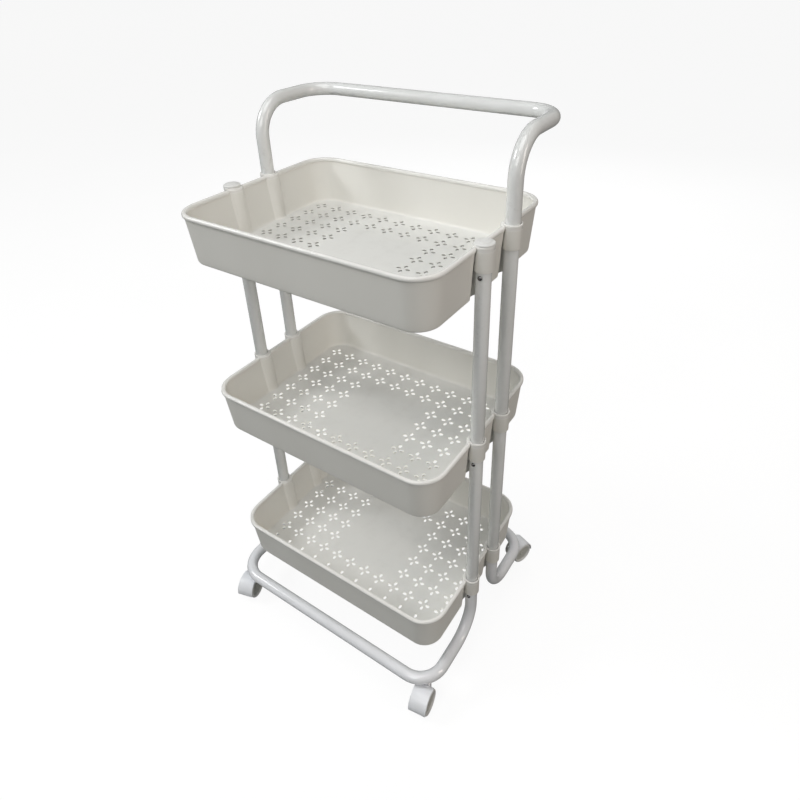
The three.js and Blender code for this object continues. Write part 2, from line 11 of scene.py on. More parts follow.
import bpy
from mathutils import Matrix, Vector
from mathutils.geometry import delaunay_2d_cdt


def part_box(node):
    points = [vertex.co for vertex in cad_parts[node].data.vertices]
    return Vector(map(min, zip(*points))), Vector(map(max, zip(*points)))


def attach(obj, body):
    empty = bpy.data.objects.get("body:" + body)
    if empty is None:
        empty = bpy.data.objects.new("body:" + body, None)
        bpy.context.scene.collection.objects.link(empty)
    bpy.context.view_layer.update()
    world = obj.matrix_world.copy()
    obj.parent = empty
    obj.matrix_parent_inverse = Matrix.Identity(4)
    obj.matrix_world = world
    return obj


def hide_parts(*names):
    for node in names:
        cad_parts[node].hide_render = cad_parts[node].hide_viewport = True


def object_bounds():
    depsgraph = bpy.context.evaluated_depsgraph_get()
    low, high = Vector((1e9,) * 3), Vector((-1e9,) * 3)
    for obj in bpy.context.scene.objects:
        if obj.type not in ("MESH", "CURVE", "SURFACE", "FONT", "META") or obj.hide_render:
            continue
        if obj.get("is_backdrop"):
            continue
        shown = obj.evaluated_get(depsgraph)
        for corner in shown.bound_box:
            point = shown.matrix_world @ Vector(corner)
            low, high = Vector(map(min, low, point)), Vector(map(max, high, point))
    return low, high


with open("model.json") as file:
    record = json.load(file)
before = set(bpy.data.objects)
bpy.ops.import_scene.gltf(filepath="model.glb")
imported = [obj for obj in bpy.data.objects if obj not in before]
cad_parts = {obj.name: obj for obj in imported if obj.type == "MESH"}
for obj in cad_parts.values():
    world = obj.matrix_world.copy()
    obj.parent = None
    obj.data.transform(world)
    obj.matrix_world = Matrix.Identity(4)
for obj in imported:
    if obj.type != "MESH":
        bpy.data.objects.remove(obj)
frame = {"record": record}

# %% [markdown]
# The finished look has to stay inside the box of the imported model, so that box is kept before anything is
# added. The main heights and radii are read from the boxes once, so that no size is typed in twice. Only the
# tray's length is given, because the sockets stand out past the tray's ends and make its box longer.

cad_low, cad_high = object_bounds()
TIERS = ("bottom", "middle", "top")
CORNERS = ("front_left", "front_right", "rear_left", "rear_right")


def middle(node):
    low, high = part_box(node)
    return (low + high) / 2


def size(node):
    low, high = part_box(node)
    return high - low


MM = 0.001
SOCKET_LIP = 1.2 * MM
TRAY_HEIGHT = size("tray_top").z - SOCKET_LIP
rim_height = {tier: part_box(f"tray_{tier}")[1].z - SOCKET_LIP for tier in TIERS}
TUBE_RADIUS = size("pole_upper_front_left").x / 2
POLES = {corner: middle(f"pole_upper_{corner}").xy for corner in CORNERS}
SOCKET_RADIUS = size("pole_cap_front_left").x / 2
TRAY_WIDTH = size("tray_top").y
TRAY_LENGTH = 400 * MM
print("rims at", {tier: round(z, 4) for tier, z in rim_height.items()})
print("tube radius", round(TUBE_RADIUS, 5))

# %% [markdown]
# Blender materials are networks of nodes. Wiring them by hand is slow to read, so one small class wraps a
# node's output socket and lets Python's own operators add the nodes. `noise * 0.2 + 0.9` then makes two
# Math nodes. Vectors and colours keep their three channels, because they go through Vector Math and Mix.

# %% A small language for shaders
class Wire:
    """An output socket that takes part in shader arithmetic."""

    def __init__(self, tree, socket):
        self.tree = tree
        self.socket = socket

    def _math(self, operation, *inputs):
        return self.tree.node("ShaderNodeMath", {"operation": operation}, dict(enumerate(inputs)))

    def __add__(self, other):
        return self._math("ADD", self, other)

    def __radd__(self, other):
        return self._math("ADD", other, self)

    def __sub__(self, other):
        return self._math("SUBTRACT", self, other)

    def __rsub__(self, other):
        return self._math("SUBTRACT", other, self)

    def __mul__(self, other):
        return self._math("MULTIPLY", self, other)

    def __rmul__(self, other):
        return self._math("MULTIPLY", other, self)

    def __abs__(self):
        return self._math("ABSOLUTE", self)

    def between(self, low, high):
        """0 below low, 1 above high, and a smooth step from one to the other."""
        settings = {"interpolation_type": "SMOOTHSTEP"}
        inputs = {"Value": self, "From Min": low, "From Max": high}
        return self.tree.node("ShaderNodeMapRange", settings, inputs)

    def scaled(self, factors):
        settings = {"operation": "MULTIPLY"}
        return self.tree.node("ShaderNodeVectorMath", settings, {0: self, 1: factors})

    def length(self):
        return self.tree.node("ShaderNodeVectorMath", {"operation": "LENGTH"}, {0: self}, "Value")


class Finish:
    """One material. `node` adds any node, and the short methods below name the usual ones."""

    def __init__(self, name):
        self.material = bpy.data.materials.new(name)
        self.material.use_nodes = True
        self.nodes = self.material.node_tree.nodes
        self.links = self.material.node_tree.links
        self.shader = self.nodes["Principled BSDF"]
        self.place = self.node("ShaderNodeTexCoord", {}, {}, "Object")

    def node(self, kind, settings, inputs, output=0):
        made = self.nodes.new(kind)
        for key, value in settings.items():
            setattr(made, key, value)
        for key, value in inputs.items():
            self.feed(made.inputs[key], value)
        return Wire(self, made.outputs[output])

    def feed(self, socket, value):
        if isinstance(value, Wire):
            self.links.new(value.socket, socket)
        else:
            socket.default_value = value

    def noise(self, scale, detail=2.0, rough=0.5, at=None):
        inputs = {"Vector": at or self.place, "Scale": scale, "Detail": detail, "Roughness": rough}
        return self.node("ShaderNodeTexNoise", {}, inputs)

    def mix(self, factor, first, second):
        """A blend of two colours. A Mix node's colour sockets are inputs 6 and 7 and output 2."""
        inputs = {0: factor, 6: first, 7: second}
        return self.node("ShaderNodeMix", {"data_type": "RGBA"}, inputs, 2)

    def up_part(self, vector):
        return self.node("ShaderNodeSeparateXYZ", {}, {0: vector}, "Z")

    def height(self):
        return self.up_part(self.place)

    def facing_up(self):
        return self.up_part(self.node("ShaderNodeNewGeometry", {}, {}, "Normal"))

    def edges(self):
        """1 on outer edges and 0 on flat faces."""
        return self.node("ShaderNodeNewGeometry", {}, {}, "Pointiness").between(0.53, 0.6)

    def bump(self, height, depth, strength):
        inputs = {"Height": height, "Distance": depth, "Strength": strength}
        return self.node("ShaderNodeBump", {}, inputs)

    def set(self, **values):
        for key, value in values.items():
            self.feed(self.shader.inputs[key.replace("_", " ")], value)
        return self.material


print("shader tools ready")

# %% [markdown]
# **White powder coat.** The tubes are sprayed with dry powder and baked. The baked skin is hard and glossy,
# but never quite flat: it keeps a fine pebble, called orange peel, about a millimetre across. That pebble
# breaks up the edge of each reflection, so it is made as a shallow bump, and the gloss varies a little too.
# The base tubes get a copy of the coat that is a touch whiter and cooler: a painted light.

# %% Powder coat
CHIPPED = (0.55, 0.545, 0.53, 1)


def powder_coat(name, light, shade):
    paint = Finish(name)
    peel = paint.noise(700.0, 2.0)
    handling = paint.noise(14.0, 4.0, 0.6)
    worn = paint.edges() * paint.noise(160.0, 3.0).between(0.5, 0.75)
    white = paint.mix(handling.between(0.35, 0.7), light, shade)
    return paint.set(
        Base_Color=paint.mix(worn * 0.6, white, CHIPPED),
        Roughness=0.15 + handling * 0.1 + peel * 0.03,
        Normal=paint.bump(peel, 0.03 * MM, 0.35),
        Coat_Weight=0.7,
        Coat_Roughness=0.06,
    )


POWDER_COAT = powder_coat("white_powder_coat", (0.8, 0.808, 0.8, 1), (0.765, 0.772, 0.758, 1))
# The base tubes' copy is painted lighter and cooler: painted light.
LIT_BASE_COAT = powder_coat("base_powder_coat_painted_light", (0.87, 0.88, 0.905, 1), (0.83, 0.84, 0.86, 1))
print(POWDER_COAT.name, LIT_BASE_COAT.name)

# %% [markdown]
# ** Tray plastic.** The trays are moulded in warm off-white plastic. The mould is sand-blasted where goods
# stand, so upward faces have a fine grain that hides scratches, and polished at the rim, which therefore
# shines; the rim is also painted a lighter colour, a painted highlight. One material does all three: how far
# a face looks up brings in the grain, and height above the rim line, which is zero in the tray's own
# coordinates, brings in the shine and the painted highlight. The holes differ. The sides of the top tray's
# holes are painted dark, a painted shade. In the lower two, the sides of the holes are given a faint glow,
# a painted light.

# %% Tray plastic
RIM_BAND = (-7.5 * MM, -4.0 * MM)
HOLE_BAND = (69.6 * MM, 69.8 * MM)
WALL_TONES = (0.768, 0.755, 0.708, 1), (0.802, 0.79, 0.745, 1)
FLOOR_TONE = (0.77, 0.768, 0.738, 1)
FLOOR_DUST = (0.66, 0.65, 0.62, 1)
RIM_HIGHLIGHT = (0.86, 0.85, 0.825, 1)
HOLE_SHADE = (0.3, 0.29, 0.27, 1)
RUBBED_EDGE = (0.62, 0.6, 0.57, 1)


def tray_plastic(name, shade_in_holes, painted_glow_in_holes):
    plastic = Finish(name)
    rim = plastic.height().between(*RIM_BAND)
    floor = plastic.facing_up().between(0.7, 0.95) * (1 - rim)
    grain = plastic.noise(1500.0, 3.0, 0.6)
    flow = plastic.noise(6.0, 3.0, 0.5, plastic.place.scaled((1.0, 1.0, 0.35)))
    streaks = plastic.noise(420.0, 2.0, 0.5, plastic.place.scaled((1.0, 0.12, 1.0)))
    scuffs = streaks.between(0.62, 0.75)
    dust = plastic.noise(38.0, 5.0, 0.65).between(0.45, 0.75)
    rubbed = plastic.edges() * plastic.noise(180.0, 3.0).between(0.5, 0.75)
    # The upright sides of the punched holes lie low in the floor, between its two faces.
    upright = 1 - abs(plastic.facing_up()).between(0.2, 0.5)
    punched = (0 - plastic.height()).between(*HOLE_BAND) * upright
    tone = plastic.mix(flow.between(0.3, 0.7), *WALL_TONES)
    tone = plastic.mix(floor, tone, FLOOR_TONE)
    tone = plastic.mix(floor * dust * 0.3, tone, FLOOR_DUST)
    # The rim's lighter colour is a painted highlight.
    tone = plastic.mix(rim * 0.7, tone, RIM_HIGHLIGHT)
    # The sides of the top tray's holes are painted dark: painted shade.
    tone = plastic.mix(punched * shade_in_holes, tone, HOLE_SHADE)
    matt = floor * 0.16 + grain * floor * 0.1 + flow * 0.06 + scuffs * 0.06
    return plastic.set(
        Base_Color=plastic.mix(rubbed * 0.3, tone, RUBBED_EDGE),
        Roughness=0.4 + matt - rim * 0.18,
        Normal=plastic.bump(grain * (0.25 + floor), 0.12 * MM, 0.6),
        # The sides of the lower trays' holes glow: a painted light.
        Emission_Color=plastic.mix(punched, (0, 0, 0, 1), (1, 1, 0.97, 1)),
        Emission_Strength=painted_glow_in_holes,
    )


TRAY_PLASTIC = tray_plastic("tray_plastic", shade_in_holes=0.0, painted_glow_in_holes=0.45)
TOP_TRAY_PLASTIC = tray_plastic("top_tray_plastic", shade_in_holes=0.75, painted_glow_in_holes=0.0)
print(TRAY_PLASTIC.name, TOP_TRAY_PLASTIC.name)

# %% [markdown]
# ** Small parts.** Caps and caster hoods are injection-moulded and left glossy; the hoods are a cooler white
# than the trays. The wheels are hard grey nylon: their treads pick up grit, and their dished middles are
# painted darker, a painted shade. Buttons are steel painted dark, a painted reflection of dim surroundings,
# and stems, nuts and axles are plated in bright zinc. Both keep the faint rings of the lathe.

# %% Moulded gloss
RUBBED_EDGE_GREY = (0.6, 0.6, 0.6, 1)


def moulded_gloss(name, light, shade):
    plastic = Finish(name)
    swirl = plastic.noise(45.0, 3.0)
    fine = plastic.noise(1300.0, 2.0)
    rubbed = plastic.edges() * plastic.noise(220.0, 3.0).between(0.45, 0.7)
    body = plastic.mix(swirl.between(0.35, 0.7), light, shade)
    return plastic.set(
        Base_Color=plastic.mix(rubbed * 0.35, body, RUBBED_EDGE_GREY),
        Roughness=0.24 + swirl * 0.12 + rubbed * 0.15,
        Normal=plastic.bump(fine, 0.04 * MM, 0.4),
        Coat_Weight=0.2,
        Coat_Roughness=0.1,
    )


CAP_PLASTIC = moulded_gloss("cap_plastic", (0.82, 0.82, 0.8, 1), (0.76, 0.76, 0.74, 1))
HOOD_PLASTIC = moulded_gloss("hood_plastic", (0.9, 0.915, 0.945, 1), (0.86, 0.875, 0.9, 1))
print(CAP_PLASTIC.name, HOOD_PLASTIC.name)

# %% Wheel nylon
DISH_EDGE = (14.8 * MM, 15.8 * MM)
TREAD_EDGE = (19.2 * MM, 19.8 * MM)
NYLON_TONES = (0.7, 0.7, 0.685, 1), (0.77, 0.77, 0.755, 1)
DISH_SHADE = (0.42, 0.42, 0.37, 1)
GRIT_TONE = (0.26, 0.25, 0.22, 1)
WORN_NYLON = (0.4, 0.4, 0.38, 1)


def wheel_nylon():
    nylon = Finish("wheel_nylon")
    grit = nylon.noise(600.0, 4.0, 0.7)
    patches = nylon.noise(90.0, 4.0, 0.6)
    worn = nylon.edges() * patches.between(0.4, 0.6)
    # How far a place is from the axle tells the dished middle, the ring and the tread apart.
    across = nylon.place.scaled((1.0, 1.0, 0.0)).length()
    # The dished middle is painted darker: painted shade.
    dish = (1 - across.between(*DISH_EDGE)) * 0.65
    tread = across.between(*TREAD_EDGE) * patches.between(0.35, 0.7)
    tone = nylon.mix(patches.between(0.35, 0.65), *NYLON_TONES)
    tone = nylon.mix(dish, tone, DISH_SHADE)
    tone = nylon.mix(tread * 0.7, tone, GRIT_TONE)
    return nylon.set(
        Base_Color=nylon.mix(worn * 0.5, tone, WORN_NYLON),
        Roughness=0.42 + grit * 0.2,
        Normal=nylon.bump(grit, 0.12 * MM, 0.6),
    )


WHEEL_NYLON = wheel_nylon()
print(WHEEL_NYLON.name)

# %% Plated steel
def plated_steel(name, light, shade):
    steel = Finish(name)
    rings = steel.noise(1.0, 2.0, 0.5, steel.place.scaled((120.0, 120.0, 2600.0)))
    smudge = steel.noise(210.0, 3.0)
    return steel.set(
        Base_Color=steel.mix(smudge.between(0.4, 0.7), light, shade),
        Metallic=1.0,
        Roughness=0.06 + smudge * 0.12,
        Normal=steel.bump(rings, 0.02 * MM, 0.4),
    )


# The buttons' steel is given a dark colour: a painted reflection of dim surroundings.
DARK_PAINTED_STEEL = plated_steel("steel_painted_dark", (0.24, 0.24, 0.245, 1), (0.15, 0.15, 0.155, 1))
BRIGHT_ZINC = plated_steel("bright_zinc", (0.78, 0.78, 0.79, 1), (0.62, 0.62, 0.63, 1))
print(DARK_PAINTED_STEEL.name, BRIGHT_ZINC.name)

# %% [markdown]
# Every piece is built as a mesh from its own dimensions. A few helpers make a mesh from points and faces,
# weld points that lie on each other, smooth it while keeping crisp corners, give it its finish, put it in
# the scene, and tie it to the moving body that it belongs to.

# %% Making a mesh
import bmesh


def raw_mesh(name, points, faces):
    mesh = bpy.data.meshes.new(name)
    mesh.from_pydata([tuple(p) for p in points], [], faces)
    mesh.validate()
    mesh.update()
    return mesh


def weld(mesh, distance=0.001 * MM):
    work = bmesh.new()
    work.from_mesh(mesh)
    bmesh.ops.remove_doubles(work, verts=work.verts, dist=distance)
    bmesh.ops.recalc_face_normals(work, faces=work.faces)
    work.to_mesh(mesh)
    work.free()
    mesh.update()
    return mesh


def shaded(mesh, material, crease=32.0):
    mesh.materials.append(material)
    mesh.shade_smooth()
    mesh.set_sharp_from_angle(angle=math.radians(crease))
    return mesh


print("mesh tools ready")

# %% Putting a mesh in the scene
def place(name, mesh, body, nodes, at=None):
    piece = bpy.data.objects.new(name, mesh)
    bpy.context.scene.collection.objects.link(piece)
    if at is not None:
        piece.matrix_world = at if isinstance(at, Matrix) else Matrix.Translation(at)
        bpy.context.view_layer.update()
    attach(piece, body)
    if nodes:
        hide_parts(*nodes)
    return piece


print("placing tools ready")

# %% [markdown]
# A turned shape, such as a socket or a wheel, is a profile spun round an axis. A profile of sharp corners
# looks unreal, since every moulded edge is rounded, so the next helpers round a profile's corners first
# and then spin it. A profile that closes on itself makes a ring.

# %% Rounding and turning a profile
# A profile that touches the axis stops just short of it, and the points round the axis are then welded.
ON_AXIS = 0.001 * MM
AXIS_WELD = 0.004 * MM


def rounded(profile, radius, steps=3, closed=False):
    """Cuts each corner of a profile of (r, z) points with a small arc; the two ends stay."""
    count = len(profile)
    out = []
    for i, (r, z) in enumerate(profile):
        point = Vector((r, z))
        if not closed and i in (0, count - 1):
            out.append(point)
            continue
        before = Vector(profile[i - 1]) - point
        after = Vector(profile[(i + 1) % count]) - point
        cut = min(radius, before.length * 0.45, after.length * 0.45)
        start = point + before.normalized() * cut
        end = point + after.normalized() * cut
        for k in range(steps + 1):
            t = k / steps
            out.append(start * (1 - t) ** 2 + point * 2 * t * (1 - t) + end * t**2)
    return out


def turn(profile, sides=40, closed=False):
    """Points and faces of a profile spun round Z."""
    points, faces = [], []
    count = len(profile)
    for k in range(sides):
        angle = 2 * math.pi * k / sides
        points += [(r * math.cos(angle), r * math.sin(angle), z) for r, z in profile]
    for k in range(sides):
        here, there = k * count, (k + 1) % sides * count
        for i in range(count if closed else count - 1):
            j = (i + 1) % count
            faces.append((here + i, there + i, there + j, here + j))
    return points, faces


def turned_mesh(name, profile, material, sides=40, closed=False, round_by=0.0, crease=32.0):
    if round_by:
        profile = rounded(profile, round_by, closed=closed)
    if not closed:
        profile = [(max(r, ON_AXIS), z) for r, z in profile]
    points, faces = turn(profile, sides, closed)
    return shaded(raw_mesh(name, points, faces), material, crease)


print("turning tools ready")

# %% [markdown]
# **The trays.** A real tray is one thin moulding: its wall leans in towards the floor, its corners are wide
# arcs, and at each pole the wall folds inwards into an upright channel that clears the tube's socket. It
# could be sculpted or cut with booleans, but both leave lumpy shading. Instead the wall is written as a
# height map: for each place along the outline and each height there is one inner and one outer point, and
# near a pole the point is pushed in to a circle about that pole.

# %% The tray's outline
WALL = 2.2 * MM
LEAN = 6.4 * MM
CORNER = 40 * MM
CORNER_TURNS = 14
RIM = 6.4 * MM
FLOOR = 2.4 * MM
WALL_INSET = (RIM - WALL) / 2
CHANNEL_TOP = 0.4 * MM
CHANNEL_BOTTOM = 3.2 * MM
POLE_X = abs(POLES["front_right"].x)
POLE_Y = abs(POLES["front_right"].y)


def outline_stations():
    """Places round the tray: a corner's turn, as an angle, or a distance along a side."""
    stations = []
    fine = [POLE_Y * side + step * MM for side in (-1, 1) for step in range(-18, 19)]
    coarse = [y * MM for y in (-96, -84, -72, -64, 64, 72, 84, 96)]
    side_run = sorted({round(y, 6) for y in fine + coarse})
    end_run = [x * MM for x in range(-150, 151, 15)]
    runs = (
        [("end", 0, 1, x) for x in reversed(end_run)],
        [("side", -1, 0, y) for y in reversed(side_run)],
        [("end", 0, -1, x) for x in end_run],
        [("side", 1, 0, y) for y in side_run],
    )
    for quarter, (sx, sy) in enumerate(((1, 1), (-1, 1), (-1, -1), (1, -1))):
        for k in range(CORNER_TURNS + 1):
            angle = quarter * math.pi / 2 + k / CORNER_TURNS * math.pi / 2
            stations.append(("corner", sx, sy, angle))
        stations += runs[quarter]
    return stations


STATIONS = outline_stations()
HALF_LENGTH, HALF_WIDTH = TRAY_LENGTH / 2, TRAY_WIDTH / 2
print(len(STATIONS), "places round each tray")


def wall_point(station, inset, height, channel=None):
    """A point on the tray's skin. inset is measured in from the rim's outline, and channel is the
    radius about a pole that the skin keeps outside of."""
    kind, sx, sy, t = station
    if kind == "corner":
        radius = max(CORNER - inset, 1 * MM)
        x = sx * (HALF_LENGTH - CORNER) + radius * math.cos(t)
        y = sy * (HALF_WIDTH - CORNER) + radius * math.sin(t)
    elif kind == "end":
        x, y = t, sy * (HALF_WIDTH - inset)
    else:
        x, y = sx * (HALF_LENGTH - inset), t
        if channel:
            gap = abs(abs(y) - POLE_Y)
            if gap < channel:
                x = sx * min(abs(x), POLE_X - math.sqrt(channel**2 - gap**2))
    return Vector((x, y, height))


def leaning(depth):
    return LEAN * depth / TRAY_HEIGHT


def channel_radius(depth):
    return SOCKET_RADIUS + CHANNEL_TOP + (CHANNEL_BOTTOM - CHANNEL_TOP) * depth / TRAY_HEIGHT


# %% [markdown]
# The skin is a stack of rings: up the outside, over the top, and down the inside to the floor. Small arcs
# of rings at the foot and where the wall meets the floor give the soft edges that a mould leaves.

# %% The tray's wall
FOOT = 4 * MM
FOOT_STEPS = 6


def skin_rings():
    """(inset, height, channel radius) of each ring, from the foot outside to the floor inside."""
    rings = []

    def ring(depth, further_in):
        inset = WALL_INSET + leaning(depth) + further_in
        rings.append((inset, -depth, channel_radius(depth) + further_in))

    arc = [math.pi / 2 * k / FOOT_STEPS for k in range(FOOT_STEPS + 1)]
    for angle in arc:
        ring(TRAY_HEIGHT - FOOT * (1 - math.cos(angle)), FOOT * (1 - math.sin(angle)))
    for depth in (60, 50, 40, 31, 24, 16, 9, 3):
        ring(depth * MM, 0.0)
    for depth in (3, 9, 16, 24, 31, 40, 50, 58):
        ring(depth * MM, WALL)
    for angle in arc:
        depth = TRAY_HEIGHT - FLOOR - FOOT * (1 - math.sin(angle))
        ring(depth, WALL + FOOT * (1 - math.cos(angle)))
    return rings


def tray_wall():
    rings = skin_rings()
    points, faces = [], []
    count = len(STATIONS)
    for inset, height, channel in rings:
        points += [wall_point(station, inset, height, channel) for station in STATIONS]
    for level in range(len(rings) - 1):
        for i in range(count):
            j = (i + 1) % count
            a, b = level * count, (level + 1) * count
            faces.append((a + i, a + j, b + j, b + i))
    return points, faces, count, len(rings)


WALL_POINTS, WALL_FACES, RING_COUNT, RING_ROWS = tray_wall()
print(len(WALL_FACES), "faces in a tray's wall")

# %% [markdown]
# **The pierced floor.** Flowers of four petals are punched in a plain grid, with a plain patch left in the
# middle. They are real holes, since light shows through them, so the floor is cut as a flat sheet with
# holes: a constrained triangulation takes the outline and every petal's outline, and the triangles that
# fall inside a petal are dropped. The lip of each hole has a small bevel, as moulded holes have, because
# that is what catches the light.

# %% Petals
PITCH_X = 30.65 * MM
PITCH_Y = 31.25 * MM
COLUMNS, ROWS = 12, 8
PLAIN_COLUMNS, PLAIN_ROWS = 4, 4
PETAL_OUT = 7.0 * MM
PETAL_LENGTH = 6.9 * MM
PETAL_WIDTH = 4.5 * MM
PETAL_SIDES = 12
PETAL_FULLNESS = 0.16


def flower_centres():
    for column in range(COLUMNS):
        for row in range(ROWS):
            plain_x = abs(column - (COLUMNS - 1) / 2) < PLAIN_COLUMNS / 2
            plain_y = abs(row - (ROWS - 1) / 2) < PLAIN_ROWS / 2
            if not (plain_x and plain_y):
                yield (column - (COLUMNS - 1) / 2) * PITCH_X, (row - (ROWS - 1) / 2) * PITCH_Y


def petal(centre, quarter, grow=0.0):
    """One petal's outline, an oval a little fuller at its outer end."""
    angle = quarter * math.pi / 2
    out = []
    for k in range(PETAL_SIDES):
        t = 2 * math.pi * k / PETAL_SIDES
        along = (PETAL_LENGTH / 2 + grow) * math.cos(t)
        across = (PETAL_WIDTH / 2 + grow) * math.sin(t) * (1 + PETAL_FULLNESS * math.cos(t))
        along += PETAL_OUT
        out.append(Vector((
            centre[0] + along * math.cos(angle) - across * math.sin(angle),
            centre[1] + along * math.sin(angle) + across * math.cos(angle))))
    return out


PETALS = [(centre, quarter) for centre in flower_centres() for quarter in range(4)]
print(len(PETALS), "petals")

# %% Cutting the floor
BEVEL = 0.45 * MM


def pierced(outline, grow):
    """A flat sheet with the petals left out, as (points, triangles, loops)."""
    points = [Vector(p) for p in outline]
    loops = [list(range(len(points)))]
    for centre, quarter in PETALS:
        first = len(points)
        points += petal(centre, quarter, grow)
        loops.append(list(range(first, first + PETAL_SIDES)))
    edges = [(loop[i], loop[(i + 1) % len(loop)]) for loop in loops for i in range(len(loop))]
    flat, _, triangles, origins, _, _ = delaunay_2d_cdt(points, edges, [], 1, 1e-7)
    number = {}
    for new, old in enumerate(origins):
        for o in old:
            number[o] = new
    owner = {}
    for ring, loop in enumerate(loops[1:]):
        for i in loop:
            owner[number[i]] = ring
    kept = []
    for triangle in triangles:
        rings = {owner.get(i, -1) for i in triangle}
        if len(rings) == 1 and -1 not in rings:
            continue
        kept.append(tuple(triangle))
    return flat, kept, [[number[i] for i in loop] for loop in loops]


def tray_floor():
    """The floor's top and bottom sheets and the walls of every hole."""
    top_outline = [p.xy for p in WALL_POINTS[(RING_ROWS - 1) * RING_COUNT:]]
    bottom_outline = [p.xy for p in WALL_POINTS[:RING_COUNT]]
    top_z, bottom_z = FLOOR - TRAY_HEIGHT, -TRAY_HEIGHT
    flat, faces, loops = pierced(top_outline, BEVEL)
    points = [(p.x, p.y, top_z) for p in flat]
    under, under_triangles, under_loops = pierced(bottom_outline, 0.0)
    base = len(points)
    points += [(p.x, p.y, bottom_z) for p in under]
    faces += [tuple(base + i for i in reversed(triangle)) for triangle in under_triangles]
    for ring, (centre, quarter) in enumerate(PETALS):
        waist = len(points)
        points += [(p.x, p.y, top_z - BEVEL) for p in petal(centre, quarter)]
        upper, lower = loops[ring + 1], [base + i for i in under_loops[ring + 1]]
        for k in range(PETAL_SIDES):
            n = (k + 1) % PETAL_SIDES
            faces.append((upper[n], upper[k], waist + k, waist + n))
            faces.append((waist + n, waist + k, lower[k], lower[n]))
    return points, faces


FLOOR_POINTS, FLOOR_FACES = tray_floor()
print(len(FLOOR_FACES), "faces in a pierced floor")

# %% [markdown]
# **The rolled rim.** A bead runs round the top of the tray and swings in round each socket, where it
# narrows. Sweeping a rounded section along that path gives one unbroken highlight, which a bevelled
# edge would not. The path is smoothed where it turns round a socket, as the mould is.

# %% The rim's path and sweep
RIM_SIDES = 16
RIM_SQUARENESS = 0.8


def rim_path():
    """(point, half width, half height) all round, for the middle of the bead."""
    path = []
    hug = SOCKET_RADIUS + 0.9 * MM
    for station in STATIONS:
        point = wall_point(station, RIM / 2, 0.0)
        narrow = 0.0
        if station[0] == "side":
            gap = abs(abs(station[3]) - POLE_Y)
            reach = math.sqrt(max(hug**2 - gap**2, 0.0)) if gap < hug else 0.0
            inward = POLE_X - reach
            if reach and inward < abs(point.x):
                point.x = math.copysign(inward, point.x)
            narrow = 1 - min(max((gap - 0.75 * hug) / (0.5 * hug), 0.0), 1.0)
        path.append([point, RIM / 2 * (1 - 0.42 * narrow), RIM / 2 * (1 - 0.1 * narrow)])
    for _ in range(3):
        xs = [item[0].x for item in path]
        for i, item in enumerate(path):
            item[0].x = (xs[i - 1] + 2 * xs[i] + xs[(i + 1) % len(path)]) / 4
    return path


def squared(value):
    """A cosine or sine pushed outwards, which makes a circle a little squarer."""
    return math.copysign(abs(value) ** RIM_SQUARENESS, value)


def swept_rim():
    path = rim_path()
    count = len(path)
    points, faces = [], []
    for i, (point, half_width, half_height) in enumerate(path):
        ahead = path[(i + 1) % count][0] - path[i - 1][0]
        across = Vector((ahead.y, -ahead.x, 0)).normalized()
        for k in range(RIM_SIDES):
            angle = 2 * math.pi * k / RIM_SIDES
            sideways = across * squared(math.cos(angle)) * half_width
            height = (squared(math.sin(angle)) - 1) * half_height
            points.append(point + sideways + Vector((0, 0, height)))
    for i in range(count):
        here, there = i * RIM_SIDES, (i + 1) % count * RIM_SIDES
        for k in range(RIM_SIDES):
            n = (k + 1) % RIM_SIDES
            faces.append((here + k, there + k, there + n, here + n))
    return points, faces


RIM_POINTS, RIM_FACES = swept_rim()
print(len(RIM_FACES), "faces in a rim")

# %% [markdown]
# **Sockets.** Each tray has four upright sleeves that hold the tubes. A sleeve is turned, with a rounded
# ring standing just above the rim, and a web ties it to the channel behind it. It is part of the tray's
# moulding, so it joins the tray's mesh.

# %% Sockets and webs
SOCKET_LENGTH = 31 * MM
SOCKET_BORE = TUBE_RADIUS + 0.3 * MM
SEAT_DEPTH = 13 * MM
SEAT_THICKNESS = 2 * MM
SEAT_BORE = TUBE_RADIUS - 1.0 * MM


def socket_shape():
    sleeve = SOCKET_RADIUS - 0.25 * MM
    seat_under = -SEAT_DEPTH - SEAT_THICKNESS
    profile = [
        (SOCKET_BORE, -SOCKET_LENGTH),
        (sleeve, -SOCKET_LENGTH),
        (sleeve, -2.2 * MM),
        (SOCKET_RADIUS, -1.6 * MM),
        (SOCKET_RADIUS, SOCKET_LIP),
        (SOCKET_BORE, SOCKET_LIP),
        (SOCKET_BORE, -SEAT_DEPTH),
        (SEAT_BORE, -SEAT_DEPTH),
        (SEAT_BORE, seat_under),
        (SOCKET_BORE, seat_under),
    ]
    return turn(rounded(profile, 0.8 * MM, closed=True), 48, closed=True)


def slab(outline, half):
    """A plate of an outline in the Y and Z of its points, from -half to half along X."""
    points = [(x, y, z) for x in (-half, half) for y, z in outline]
    count = len(outline)
    faces = [tuple(reversed(range(count))), tuple(range(count, 2 * count))]
    faces += [(i, (i + 1) % count, count + (i + 1) % count, count + i) for i in range(count)]
    return points, faces


def web_shape(sign):
    """A thin plate from the sleeve to the channel behind it, with a softened lower end."""
    inner, outer = POLE_X - SOCKET_RADIUS - 1.3 * MM, POLE_X - SOCKET_RADIUS + 0.9 * MM
    outline = [
        (inner, -1.5 * MM),
        (outer, -1.5 * MM),
        (outer, -SOCKET_LENGTH + 2 * MM),
        (inner - 1.2 * MM, -SOCKET_LENGTH - 1 * MM),
    ]
    points, faces = slab(outline, 4 * MM)
    return [(sign * x, y, z) for y, x, z in points], faces


def joined_shapes(shapes):
    """One list of points and one of faces from many, each moved by its own offset."""
    points, faces = [], []
    for more, their_faces, offset in shapes:
        base = len(points)
        points += [Vector(p) + offset for p in more]
        faces += [tuple(base + i for i in face) for face in their_faces]
    return points, faces


print("socket tools ready")

# %% [markdown]
# The wall and the floor were made apart and share their edge points, so the doubled points are welded.
# Welding matters: without it the two would shade as separate sheets and leave a hairline at the foot.

